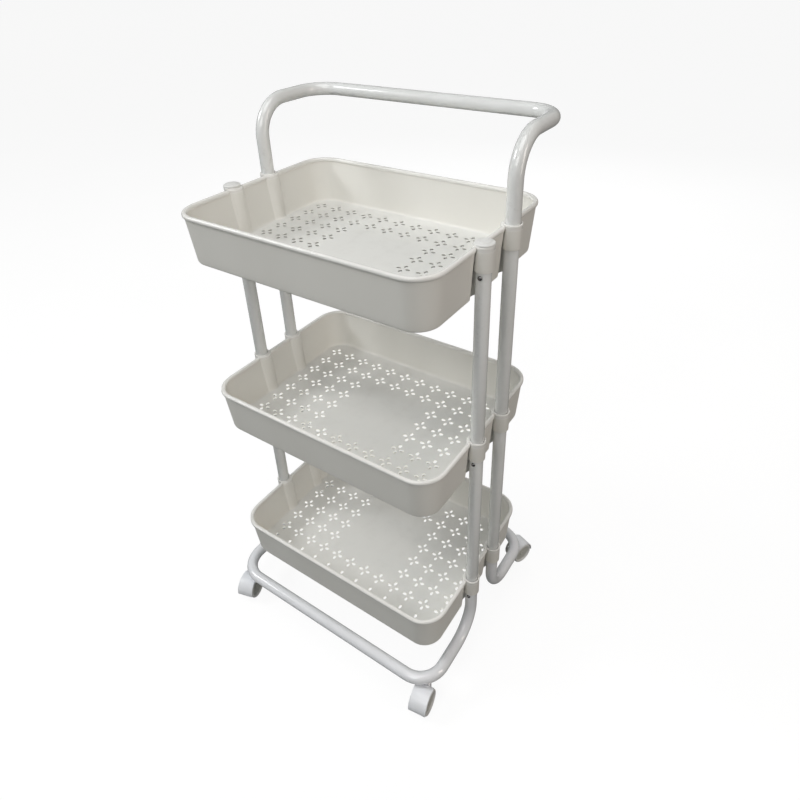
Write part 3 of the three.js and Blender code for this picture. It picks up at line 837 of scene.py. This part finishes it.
# %% The three trays
def tray_mesh():
    origin = Vector((0, 0, 0))
    shapes = [
        (WALL_POINTS, WALL_FACES, origin),
        (FLOOR_POINTS, FLOOR_FACES, origin),
        (RIM_POINTS, RIM_FACES, origin),
    ]
    for corner in CORNERS:
        pole = Vector((*POLES[corner], 0))
        shapes.append((*socket_shape(), pole))
        shapes.append((*web_shape(math.copysign(1, pole.x)), Vector((0, pole.y, 0))))
    return shaded(weld(raw_mesh("tray", *joined_shapes(shapes))), TRAY_PLASTIC, 40.0)


TRAY_MESH = tray_mesh()
TOP_TRAY_MESH = TRAY_MESH.copy()
TOP_TRAY_MESH.materials[0] = TOP_TRAY_PLASTIC
for tier in TIERS:
    mesh = TOP_TRAY_MESH if tier == "top" else TRAY_MESH
    at = Vector((0, 0, rim_height[tier]))
    place(f"moulded_tray_{tier}", mesh, "frame", [f"tray_{tier}"], at)
print(len(TRAY_MESH.polygons), "faces in each tray")

# %% [markdown]
# **Bent tubes.** The handle and the two base tubes are one shape: two upright legs, a bend out, a level
# run, and a bend into the cross bar. A curve with a round bevel would draw it, but a mesh swept ring by
# ring keeps the tube's radius true in every bend and lets the button holes be cut afterwards.

# %% Sweeping a tube
LEG_BEND = 50 * MM
CORNER_BEND = 42 * MM
BEND_STEPS = 14
TUBE_SIDES = 40


def bent_route(corners, radii):
    """Centre points and directions along straight runs joined by circular bends."""
    route = [(corners[0], (corners[1] - corners[0]).normalized())]
    for i in range(1, len(corners) - 1):
        into = (corners[i] - corners[i - 1]).normalized()
        out = (corners[i + 1] - corners[i]).normalized()
        radius = radii[i - 1]
        turn_by = into.angle(out)
        start = corners[i] - into * radius * math.tan(turn_by / 2)
        inward = (out - into * out.dot(into)).normalized()
        for k in range(BEND_STEPS + 1):
            angle = turn_by * k / BEND_STEPS
            point = start + into * radius * math.sin(angle) + inward * radius * (1 - math.cos(angle))
            route.append((point, into * math.cos(angle) + inward * math.sin(angle)))
    route.append((corners[-1], (corners[-1] - corners[-2]).normalized()))
    return route


def swept_tube(route, radius, wall):
    """A hollow tube: the outside, the bore and the two cut ends, as one closed mesh."""
    points, faces = [], []
    across = Vector((1, 0, 0))
    rows = []
    for point, ahead in route:
        across = (across - ahead * across.dot(ahead)).normalized()
        rows.append((point, across.copy(), ahead.cross(across)))
    for size_here in (radius, radius - wall):
        for point, a, b in rows:
            for k in range(TUBE_SIDES):
                angle = 2 * math.pi * k / TUBE_SIDES
                points.append(point + (a * math.cos(angle) + b * math.sin(angle)) * size_here)
    bore = len(rows) * TUBE_SIDES
    for i in range(len(rows) - 1):
        for k in range(TUBE_SIDES):
            n = (k + 1) % TUBE_SIDES
            lower, upper = i * TUBE_SIDES, (i + 1) * TUBE_SIDES
            faces.append((lower + k, lower + n, upper + n, upper + k))
            faces.append((bore + lower + n, bore + lower + k, bore + upper + k, bore + upper + n))
    last = (len(rows) - 1) * TUBE_SIDES
    for k in range(TUBE_SIDES):
        n = (k + 1) % TUBE_SIDES
        faces.append((n, k, bore + k, bore + n))
        faces.append((last + k, last + n, bore + last + n, bore + last + k))
    return points, faces


print("tube tools ready")

# %% [markdown]
# **Button holes.** Each joint is locked by a sprung button that shows through a round hole. The hole has to
# be real, because the button sinks into it when pressed. A Boolean modifier with a short round cutter
# makes it, and the result is baked into the mesh so that no modifier is left on the piece.

# %% Cutting holes
BUTTON_RADIUS = 2.9 * MM
BUTTON_HOLE = BUTTON_RADIUS + 0.3 * MM
CUTTER_SIDES = 24
BUTTONS = {
    (tier, corner): middle(f"snap_button_{tier}_{corner}") for tier in TIERS for corner in CORNERS
}


def outward(corner):
    """The way along Y that a button on this pole faces."""
    return -1 if corner.startswith("front") else 1


def button_axis(tier, corner):
    """A point on the tube's centre line level with a button, and the way the button faces."""
    return Vector((*POLES[corner], BUTTONS[tier, corner].z)), outward(corner)


def facing(centre, way):
    """The place of something drawn along Z that points along Y, to the front (-1) or the rear (1)."""
    return Matrix.Translation(centre) @ Matrix.Rotation(-way * math.pi / 2, 4, "X")


def bored(mesh, bores):
    """The mesh with a round bore at each (place, radius, length), along the place's own Z."""
    target = bpy.data.objects.new("work", mesh)
    bpy.context.scene.collection.objects.link(target)
    spare = [target]
    for stand, radius, length in bores:
        profile = [(ON_AXIS, 0.0), (radius, 0.0), (radius, length), (ON_AXIS, length)]
        drill = weld(raw_mesh("cutter", *turn(profile, CUTTER_SIDES)), 0.01 * MM)
        cutter = bpy.data.objects.new("cutter", drill)
        cutter.matrix_world = stand
        bpy.context.scene.collection.objects.link(cutter)
        modifier = target.modifiers.new("bore", "BOOLEAN")
        modifier.operation = "DIFFERENCE"
        modifier.solver = "EXACT"
        modifier.object = cutter
        spare.append(cutter)
    bpy.context.view_layer.update()
    seen = target.evaluated_get(bpy.context.evaluated_depsgraph_get())
    cut = bpy.data.meshes.new_from_object(seen)
    for piece in spare:
        bpy.data.objects.remove(piece)
    return cut


def with_holes(mesh, holes):
    """The mesh with a button hole at each (centre, direction along Y)."""
    if not holes:
        return mesh
    return bored(mesh, [(facing(*hole), BUTTON_HOLE, TUBE_RADIUS * 1.4) for hole in holes])


def tube_piece(name, nodes, shape, holes, coat=POWDER_COAT, crease=35.0):
    mesh = with_holes(raw_mesh(name, *shape), holes)
    mesh.name = name
    place(name, shaded(mesh, coat, crease), "frame", nodes)


print("cutter ready")

# %% [markdown]
# **Poles, handle and base tubes.** Each tube ends in a reduced plug that goes down inside the tube below,
# past the button that locks it. The plug is turned from its own profile and joined to the tube.

# %% Poles
TUBE_WALL = 1.0 * MM
PLUG_RADIUS = TUBE_RADIUS - TUBE_WALL - 0.3 * MM
PLUG_BORE = PLUG_RADIUS - TUBE_WALL
BUTTON_DROP = rim_height["top"] - BUTTONS["top", "front_left"].z
SHOULDER = SEAT_DEPTH - 0.3 * MM
TUBE_END = SEAT_DEPTH + SEAT_THICKNESS + 0.3 * MM
PLUG_END = BUTTON_DROP + 11 * MM


def sleeve(corner, profile):
    """A closed profile turned about a pole, with its corners eased."""
    eased = rounded(profile, 0.3 * MM, 2, closed=True)
    points, faces = turn(eased, TUBE_SIDES, closed=True)
    return [Vector(p) + Vector((*POLES[corner], 0)) for p in points], faces


def upright(corner, bottom, top):
    plug_foot = bottom - PLUG_END + SHOULDER
    return sleeve(corner, [
        (PLUG_BORE, plug_foot),
        (PLUG_RADIUS, plug_foot),
        (PLUG_RADIUS, bottom),
        (TUBE_RADIUS, bottom),
        (TUBE_RADIUS, top),
        (TUBE_RADIUS - TUBE_WALL, top),
        (TUBE_RADIUS - TUBE_WALL, bottom + TUBE_WALL),
        (PLUG_BORE, bottom + TUBE_WALL),
    ])


for corner in CORNERS:
    for part, low, high in (("lower", "bottom", "middle"), ("upper", "middle", "top")):
        shape = upright(corner, rim_height[low] - SHOULDER, rim_height[high] - TUBE_END)
        holes = [button_axis(low, corner), button_axis(high, corner)]
        tube_piece(f"{part}_tube_{corner}", [f"pole_{part}_{corner}"], shape, holes)
print("eight uprights")

# %% Handle and base tubes
def u_tube(leg_end, bar_height, bar_y, side):
    half = [
        Vector((POLE_X, side * bar_y, bar_height)),
        Vector((POLE_X, side * POLE_Y, bar_height)),
        Vector((POLE_X, side * POLE_Y, leg_end)),
    ]
    mirrored = [Vector((-p.x, p.y, p.z)) for p in reversed(half)]
    route = bent_route(mirrored + half, [LEG_BEND, CORNER_BEND, CORNER_BEND, LEG_BEND])
    return swept_tube(route, TUBE_RADIUS, TUBE_WALL)


def plug(corner, shoulder):
    foot, head = shoulder - PLUG_END + SHOULDER, shoulder + 3 * TUBE_WALL
    return sleeve(corner, [(PLUG_BORE, foot), (PLUG_RADIUS, foot), (PLUG_RADIUS, head), (PLUG_BORE, head)])


for end, side in (("front", -1), ("rear", 1)):
    low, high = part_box(f"base_tube_{end}")
    bar_y = max(abs(low.y), abs(high.y)) - TUBE_RADIUS
    shape = u_tube(rim_height["bottom"] - TUBE_END, low.z + TUBE_RADIUS, bar_y, side)
    holes = [button_axis("bottom", corner) for corner in CORNERS if corner.startswith(end)]
    # The base tubes take the coat that is painted lighter and cooler.
    tube_piece(f"bent_base_tube_{end}", [f"base_tube_{end}"], shape, holes, LIT_BASE_COAT)

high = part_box("handle")[1]
shoulder = rim_height["top"] - SHOULDER
shape = u_tube(shoulder, high.z - TUBE_RADIUS, high.y - TUBE_RADIUS, 1)
tube_piece("push_handle", ["handle"], shape, [])
for corner in ("rear_left", "rear_right"):
    hole = button_axis("top", corner)
    tube_piece(f"handle_plug_{corner}", [], plug(corner, shoulder), [hole], crease=32.0)
print("handle and base tubes")

# %% [markdown]
# **Pole caps.** The two front poles end at the top tray, so a plug with a wide, gently domed head closes
# each one. Its edge is rounded and a shallow step runs round the head.

# %% Caps
def cap_mesh():
    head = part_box("pole_cap_front_left")[1].z - rim_height["top"]
    under = SOCKET_LIP + 0.3 * MM
    full = head - under
    profile = [
        (0.0, -SHOULDER),
        (PLUG_BORE, -SHOULDER),
        (PLUG_BORE, -PLUG_END),
        (PLUG_RADIUS, -PLUG_END),
        (PLUG_RADIUS, -SHOULDER),
        (TUBE_RADIUS, -SHOULDER),
        (TUBE_RADIUS, under),
        (SOCKET_RADIUS, under),
        (SOCKET_RADIUS, under + full * 0.42),
        (SOCKET_RADIUS - 1.4 * MM, under + full * 0.62),
        (SOCKET_RADIUS - 4.2 * MM, under + full * 0.72),
        (SOCKET_RADIUS - 4.6 * MM, under + full * 0.86),
        (SOCKET_RADIUS - 7.5 * MM, under + full * 0.97),
        (0.0, head),
    ]
    mesh = turned_mesh("pole_cap", profile, CAP_PLASTIC, 48, round_by=0.6 * MM, crease=50.0)
    return weld(mesh, AXIS_WELD)


CAP_MESH = cap_mesh()
for corner in ("front_left", "front_right"):
    cut = with_holes(CAP_MESH.copy(), [(Vector((0, 0, -BUTTON_DROP)), -1)])
    at = Vector((*POLES[corner], rim_height["top"]))
    place(f"domed_cap_{corner}", cut, "frame", [f"pole_cap_{corner}"], at)
print("two caps")

# %% [markdown]
# **Snap buttons.** A button is a short pin with a round head on a strip of spring steel inside the plug.
# The head is turned with a full dome, because its tiny bright reflection is all that the eye gets of it.

# %% Buttons
STRIP_THICKNESS = 0.8 * MM
STRIP_HALF_WIDTH = 3.3 * MM
STRIP_CORNER = 1.6 * MM
DOME_STEPS = 8


def strip_outline(half_length):
    """A rectangle with round corners."""
    outline = []
    for sx, sz, start in ((1, 1, 0), (-1, 1, 90), (-1, -1, 180), (1, -1, 270)):
        for k in range(5):
            angle = math.radians(start + k * 22.5)
            outline.append((
                sx * (STRIP_HALF_WIDTH - STRIP_CORNER) + STRIP_CORNER * math.cos(angle),
                sz * (half_length - STRIP_CORNER) + STRIP_CORNER * math.sin(angle)))
    return outline


def button_mesh():
    low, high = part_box("snap_button_top_front_left")
    axis_y = POLES["front_left"].y
    tip, back = axis_y - low.y, axis_y - high.y
    profile = [(ON_AXIS, back + STRIP_THICKNESS * 0.5), (BUTTON_RADIUS, back + STRIP_THICKNESS * 0.5)]
    for k in range(DOME_STEPS):
        angle = math.pi / 2 * k / DOME_STEPS
        profile.append((
            BUTTON_RADIUS * math.cos(angle), TUBE_RADIUS + (tip - TUBE_RADIUS) * math.sin(angle)))
    profile.append((ON_AXIS, tip))
    points, faces = turn(profile, 32)
    outline = strip_outline((high.z - low.z) / 2)
    base, count = len(points), len(outline)
    for depth in (back, back + STRIP_THICKNESS):
        points += [(x, z, depth) for x, z in outline]
    faces.append(tuple(base + i for i in range(count)))
    faces.append(tuple(base + count + i for i in reversed(range(count))))
    for i in range(count):
        n = (i + 1) % count
        faces.append((base + i, base + n, base + count + n, base + count + i))
    return shaded(weld(raw_mesh("snap_button", points, faces), AXIS_WELD), DARK_PAINTED_STEEL, 40.0)


BUTTON_MESH = button_mesh()
for tier, corner in BUTTONS:
    ending = f"{tier}_{corner}"
    stand = facing(*button_axis(tier, corner))
    nodes = [f"snap_button_{ending}"]
    place(f"sprung_button_{ending}", BUTTON_MESH, f"button_{ending}", nodes, stand)
print(len(BUTTONS), "buttons")

# %% [markdown]
# **Casters.** A twin-wheel caster is a moulded hood with a wheel on each side and an axle through both. The
# hood hugs the wheels from low behind, over the top, to just in front of the stem. It turns on the stem,
# and the wheels turn on the axle, so hood, wheels and stem are separate pieces on separate bodies. Each is
# drawn once, in the caster's own coordinates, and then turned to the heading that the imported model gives.

# %% Where each caster stands
spins = {joint["child"]: joint for joint in frame["record"]["behaviour"]["joints"]}
WHEEL_RADIUS = size("caster_wheel_a_front_right").z / 2
AXLE_RADIUS = 2 * MM


def caster_place(corner):
    """The caster's place on the ground with its heading, and how far its axle trails behind."""
    swivel = Vector(spins[f"caster_{corner}"]["pos_m"])
    spin = spins[f"wheel_a_{corner}"]
    axle = Vector(spin["pos_m"])
    heading = math.atan2(spin["axis"][1], spin["axis"][0])
    trail = (axle.xy - swivel.xy).length
    return Matrix.Translation((swivel.x, swivel.y, 0)) @ Matrix.Rotation(heading, 4, "Z"), trail


TRAIL = caster_place("front_right")[1]
HOOD_CORE = 12.2 * MM
WHEEL_INNER = HOOD_CORE / 2 + 0.4 * MM
WHEEL_OUTER = WHEEL_INNER + 8.2 * MM
HOOD_OUTER = WHEEL_RADIUS + 2.85 * MM
HOOD_INNER = WHEEL_RADIUS + 1.2 * MM
HOOD_TOP = WHEEL_RADIUS + HOOD_OUTER
print("wheel radius", round(WHEEL_RADIUS, 4), "trail", round(TRAIL, 4))

# %% [markdown]
# The hood is a drawing in the side view pulled out to the width of the wheels. Its outer edges are rounded
# with extra cross-sections that shrink towards each end, so that the light rolls off the rim of the hood
# instead of stopping at a line.

# %% Hood
COVER_LOW, COVER_FRONT, COVER_STEPS = 184, 52, 30
COVER_SOFTNESS = 1.2 * MM
COVER_SLICES = 6
STEM_BORE = 4.4 * MM
BOSS_RADIUS = 5.9 * MM


def side_arc(radius, start, end, steps):
    """Points in the side view, (forward, up), on an arc about the axle, in degrees from ahead."""
    out = []
    for k in range(steps + 1):
        angle = math.radians(start + (end - start) * k / steps)
        out.append((-TRAIL + radius * math.cos(angle), WHEEL_RADIUS + radius * math.sin(angle)))
    return out


def hood_cover():
    slices = []
    for k in range(COVER_SLICES):
        angle = math.pi / 2 * k / (COVER_SLICES - 1)
        drop = COVER_SOFTNESS * (1 - math.cos(angle))
        slices.append((WHEEL_OUTER - COVER_SOFTNESS * (1 - math.sin(angle)), drop))
    points, faces, rows = [], [], []
    for x, drop in [(-x, drop) for x, drop in reversed(slices)] + slices:
        outer = side_arc(HOOD_OUTER - drop, COVER_LOW, COVER_FRONT, COVER_STEPS)
        inner = side_arc(HOOD_INNER, COVER_FRONT, COVER_LOW, COVER_STEPS)
        rows.append(len(points))
        points += [(x, y, z) for y, z in outer + inner]
    count = 2 * (COVER_STEPS + 1)
    for here, there in zip(rows, rows[1:]):
        for i in range(count):
            j = (i + 1) % count
            faces.append((here + i, there + i, there + j, here + j))
    for row in (rows[0], rows[-1]):
        for i in range(COVER_STEPS):
            faces.append((row + i, row + i + 1, row + count - 2 - i, row + count - 1 - i))
    return points, faces


def hood_core():
    """The fork between the wheels, round the axle, up to the boss that the stem turns in."""
    front = 5.8 * MM
    outline = side_arc((HOOD_INNER + HOOD_OUTER) / 2, 180, 76, 20)
    outline += [(front, HOOD_TOP - 6 * MM), (front, 24 * MM)]
    outline += side_arc(7 * MM, 0, -176, 12)
    return slab(outline, HOOD_CORE / 2)


def stem_boss():
    foot, shoulder, head = HOOD_TOP - 12 * MM, HOOD_TOP - 1.2 * MM, HOOD_TOP - 0.6 * MM
    profile = [
        (STEM_BORE, foot),
        (BOSS_RADIUS, foot),
        (BOSS_RADIUS, shoulder),
        (BOSS_RADIUS - 0.5 * MM, head),
        (STEM_BORE, head),
    ]
    return turn(rounded(profile, 0.5 * MM, closed=True), 32, closed=True)


def hood_mesh():
    """The cover and the fork are bored for the stem and the axle; the boss is turned with its bore."""
    stem = (Matrix.Translation((0, 0, HOOD_TOP - 15.4 * MM)), STEM_BORE, 20 * MM)
    across = Matrix.Translation((-20 * MM, -TRAIL, WHEEL_RADIUS)) @ Matrix.Rotation(math.pi / 2, 4, "Y")
    axle = (across, AXLE_RADIUS + 0.3 * MM, 40 * MM)
    cover = bored(weld(raw_mesh("cover", *hood_cover())), [stem])
    fork = bored(weld(raw_mesh("fork", *hood_core())), [stem, axle])
    boss = weld(raw_mesh("boss", *stem_boss()))
    whole = bmesh.new()
    for part in (cover, fork, boss):
        whole.from_mesh(part)
    mesh = bpy.data.meshes.new("hood")
    whole.to_mesh(mesh)
    whole.free()
    return shaded(mesh, HOOD_PLASTIC, 45.0)


HOOD_MESH = hood_mesh()
print(len(HOOD_MESH.polygons), "faces in a hood")

# %% [markdown]
# **Wheels.** Each wheel has a rounded tread, a raised outer ring, a dished side, and a small hub boss with a
# dimple where the axle ends. All of it is turned from one profile.

# %% Wheels
def wheel_mesh():
    dish, rim = WHEEL_OUTER - 3 * MM, WHEEL_RADIUS
    profile = [
        (0.0, WHEEL_OUTER - 4.4 * MM),
        (2.4 * MM, WHEEL_OUTER - 4.6 * MM),
        (2.4 * MM, WHEEL_INNER),
        (rim - 0.9 * MM, WHEEL_INNER),
        (rim, WHEEL_INNER + 1.2 * MM),
        (rim, WHEEL_OUTER - 1.6 * MM),
        (rim - 1.3 * MM, WHEEL_OUTER),
        (rim - 3.0 * MM, WHEEL_OUTER),
        (rim - 3.6 * MM, WHEEL_OUTER - 0.9 * MM),
        (rim - 5.0 * MM, dish),
        (rim - 9.0 * MM, dish - 0.4 * MM),
        (5.2 * MM, dish - 0.4 * MM),
        (4.4 * MM, dish + 1.0 * MM),
        (2.2 * MM, dish + 1.0 * MM),
        (1.6 * MM, dish + 0.3 * MM),
        (0.0, dish + 0.3 * MM),
    ]
    mesh = turned_mesh("wheel", profile, WHEEL_NYLON, 56, round_by=0.5 * MM, crease=45.0)
    return weld(mesh, AXIS_WELD)


WHEEL_MESH = wheel_mesh()
print(len(WHEEL_MESH.polygons), "faces in a wheel")

# %% [markdown]
# **Axles, stems and nuts.** These are lathe-turned steel. The axle runs through both wheels. The stem has a
# collar that stops it under the tube, and screws into a rivet nut that is set in the tube's wall.

# %% Axles, stems and nuts
COLLAR_RADIUS = 6.9 * MM
COLLAR_THICKNESS = 1.2 * MM
STEM_RADIUS = 4 * MM


def zinc_turned(name, profile, round_by=0.3 * MM, closed=False):
    sides = 32 if name == "axle" else 40
    return turned_mesh(name, profile, BRIGHT_ZINC, sides, closed, round_by)


def axle_mesh():
    half = WHEEL_OUTER - 5 * MM
    profile = [(0.0, -half), (AXLE_RADIUS, -half), (AXLE_RADIUS, half), (0.0, half)]
    return weld(zinc_turned("axle", profile), AXIS_WELD)


def stem_mesh():
    low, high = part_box("caster_stem_front_right")
    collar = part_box("base_tube_front")[0].z - 1.8 * MM
    profile = [
        (0.0, low.z),
        (STEM_RADIUS, low.z),
        (STEM_RADIUS, collar - COLLAR_THICKNESS),
        (COLLAR_RADIUS, collar - COLLAR_THICKNESS),
        (COLLAR_RADIUS, collar),
        (STEM_RADIUS - 0.3 * MM, collar),
        (STEM_RADIUS - 0.3 * MM, high.z),
        (0.0, high.z),
    ]
    return weld(zinc_turned("stem", profile), AXIS_WELD)


def nut_mesh():
    low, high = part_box("rivet_nut_front_right")
    flange, barrel = low.z + COLLAR_THICKNESS, 5.1 * MM
    profile = [
        (STEM_RADIUS, low.z),
        (COLLAR_RADIUS, low.z),
        (COLLAR_RADIUS, flange),
        (barrel, flange),
        (barrel, high.z),
        (STEM_RADIUS, high.z),
    ]
    return zinc_turned("rivet_nut", profile, 0.25 * MM, closed=True)


AXLE_MESH, STEM_MESH, NUT_MESH = axle_mesh(), stem_mesh(), nut_mesh()
print("axle, stem and nut turned")

# %% Four casters
for corner in CORNERS:
    stand, _ = caster_place(corner)
    ground = Vector((stand.translation.x, stand.translation.y, 0))
    axle_line = stand @ Matrix.Translation((0, -TRAIL, WHEEL_RADIUS))
    turned = {way: axle_line @ Matrix.Rotation(way * math.pi / 2, 4, "Y") for way in (-1, 1)}
    caster = f"caster_{corner}"
    place(f"hood_{corner}", HOOD_MESH, caster, [f"caster_hood_{corner}"], stand)
    place(f"axle_{corner}", AXLE_MESH, caster, [f"caster_axle_{corner}"], turned[1])
    for letter, way in (("a", -1), ("b", 1)):
        wheel = f"wheel_{letter}_{corner}"
        place(wheel, WHEEL_MESH, wheel, [f"caster_{wheel}"], turned[way])
    for name, mesh, node in (("stem", STEM_MESH, "caster_stem"), ("threaded_nut", NUT_MESH, "rivet_nut")):
        place(f"{name}_{corner}", mesh, "frame", [f"{node}_{corner}"], ground)
print("four casters")

# %% [markdown]
# **The studio.** A product is shown best on a plain pale floor under large soft lights. The floor is seen
# only by the camera, and not by the light that bounces: white goods on a bright floor would otherwise lose
# their shading from below.

# %% Floor and backdrop
SWEEP_RADIUS = 14.0
SWEEP_STEPS = 24
SWEEP_GLOW = 0.91


def studio_sweep():
    """A flat round floor that curves up into a backdrop and closes overhead: no horizon ever shows."""
    finish = Finish("studio_sweep")
    mottle = finish.noise(3.0, 2.0)
    finish.set(
        Base_Color=finish.mix(mottle, (0.09, 0.09, 0.09, 1), (0.11, 0.11, 0.11, 1)),
        Roughness=0.9,
        Emission_Color=(1, 1, 1, 1),
        Emission_Strength=SWEEP_GLOW,
    )
    profile = [(ON_AXIS, 0.0)]
    for k in range(SWEEP_STEPS + 1):
        angle = math.pi * k / SWEEP_STEPS
        profile.append((SWEEP_RADIUS * (1 + math.sin(angle)), SWEEP_RADIUS * (1 - math.cos(angle))))
    profile.append((ON_AXIS, 2 * SWEEP_RADIUS))
    mesh = shaded(raw_mesh("studio_sweep", *turn(profile, 96)), finish.material)
    sweep = bpy.data.objects.new("studio_sweep", mesh)
    sweep.visible_diffuse = False
    sweep.visible_glossy = False
    sweep.visible_shadow = False
    bpy.context.scene.collection.objects.link(sweep)
    sweep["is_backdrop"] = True


studio_sweep()
print("floor and backdrop laid")

# %% [markdown]
# **Lights.** The one overhead fills the trays and leaves the walls, which face sideways, a stop darker. The
# window, high on the left, is the strongest, and draws the bright streak on each glossy tube. Weaker ones
# fill the front, the right and the back. The one behind is hidden from reflections, because it would draw a
# hard white line along the handle.

# %% Lights
def soft_light(name, at, towards, width, height, watts, tint=(1, 1, 1)):
    light = bpy.data.lights.new(name, "AREA")
    light.shape = "RECTANGLE"
    light.size, light.size_y = width, height
    light.energy, light.color = watts, tint
    lamp = bpy.data.objects.new(name, light)
    lamp.location = at
    lamp.rotation_euler = (Vector(towards) - Vector(at)).to_track_quat("-Z", "Y").to_euler()
    bpy.context.scene.collection.objects.link(lamp)
    return lamp


soft_light("overhead", (0.1, -0.6, 2.7), (0, 0, 0.35), 1.3, 1.3, 16.0)
soft_light("window", (-2.1, -1.3, 2.3), (0, 0, 0.5), 0.8, 0.8, 33.0, (0.97, 0.985, 1.0))
soft_light("front_fill", (0.35, -1.9, 1.9), (0, 0, 0.35), 1.2, 0.9, 13.0)
soft_light("right_panel", (2.4, 0.1, 1.3), (0, 0, 0.5), 0.5, 1.8, 16.0, (1.0, 0.9, 0.83))
behind = soft_light("rear_fill", (-0.7, 2.4, 1.5), (0, 0, 0.4), 1.6, 1.2, 24.0)
behind.visible_glossy = False

world = bpy.data.worlds.new("studio")
world.use_nodes = True
air = world.node_tree.nodes["Background"].inputs
air["Color"].default_value = (0.98, 1.0, 0.97, 1)
air["Strength"].default_value = 0.16
bpy.context.scene.world = world
bpy.context.scene.view_settings.view_transform = "Standard"
print("lights set")

# %% [markdown]
# **The camera** stands in front and to the right, above the top tray, and looks down at the cart. Its lens
# is short, which makes the near pole look thicker than the far one and draws the uprights together
# towards the floor. It is placed from the height of the lowest rim, so it keeps its view if the cart is
# raised.

# %% Camera
AZIMUTH, DOWN, ROLL = 0.607, 0.540, -0.033
EYE = Vector((0.4932, -0.6103, 0.8571 + rim_height["bottom"]))
camera_data = bpy.data.cameras.new("camera")
camera_data.sensor_width = 36.0
camera_data.lens = 28.008
camera_data.shift_x = -0.009
camera_data.shift_y = -0.0975
camera = bpy.data.objects.new("camera", camera_data)
level = Vector((math.cos(AZIMUTH), math.sin(AZIMUTH), 0))
ahead = Vector((-math.sin(AZIMUTH), math.cos(AZIMUTH), 0))
look = ahead * math.cos(DOWN) - Vector((0, 0, math.sin(DOWN)))
up = level.cross(look)
right = level * math.cos(ROLL) + up * math.sin(ROLL)
lifted = up * math.cos(ROLL) - level * math.sin(ROLL)
camera.matrix_world = Matrix.Translation(EYE) @ Matrix((right, lifted, -look)).transposed().to_4x4()
bpy.context.scene.collection.objects.link(camera)
bpy.context.scene.camera = camera
print("lens", round(camera_data.lens, 1), "mm")

# %% [markdown]
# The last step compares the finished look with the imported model's box and hands the scene over.

# %% Sizes, and the end
seen_low, seen_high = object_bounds()
above = [round((a - b) / MM, 2) for a, b in zip(cad_high, seen_high)]
below = [round((b - a) / MM, 2) for a, b in zip(cad_low, seen_low)]
print("inside by", above, "and", below, "mm")
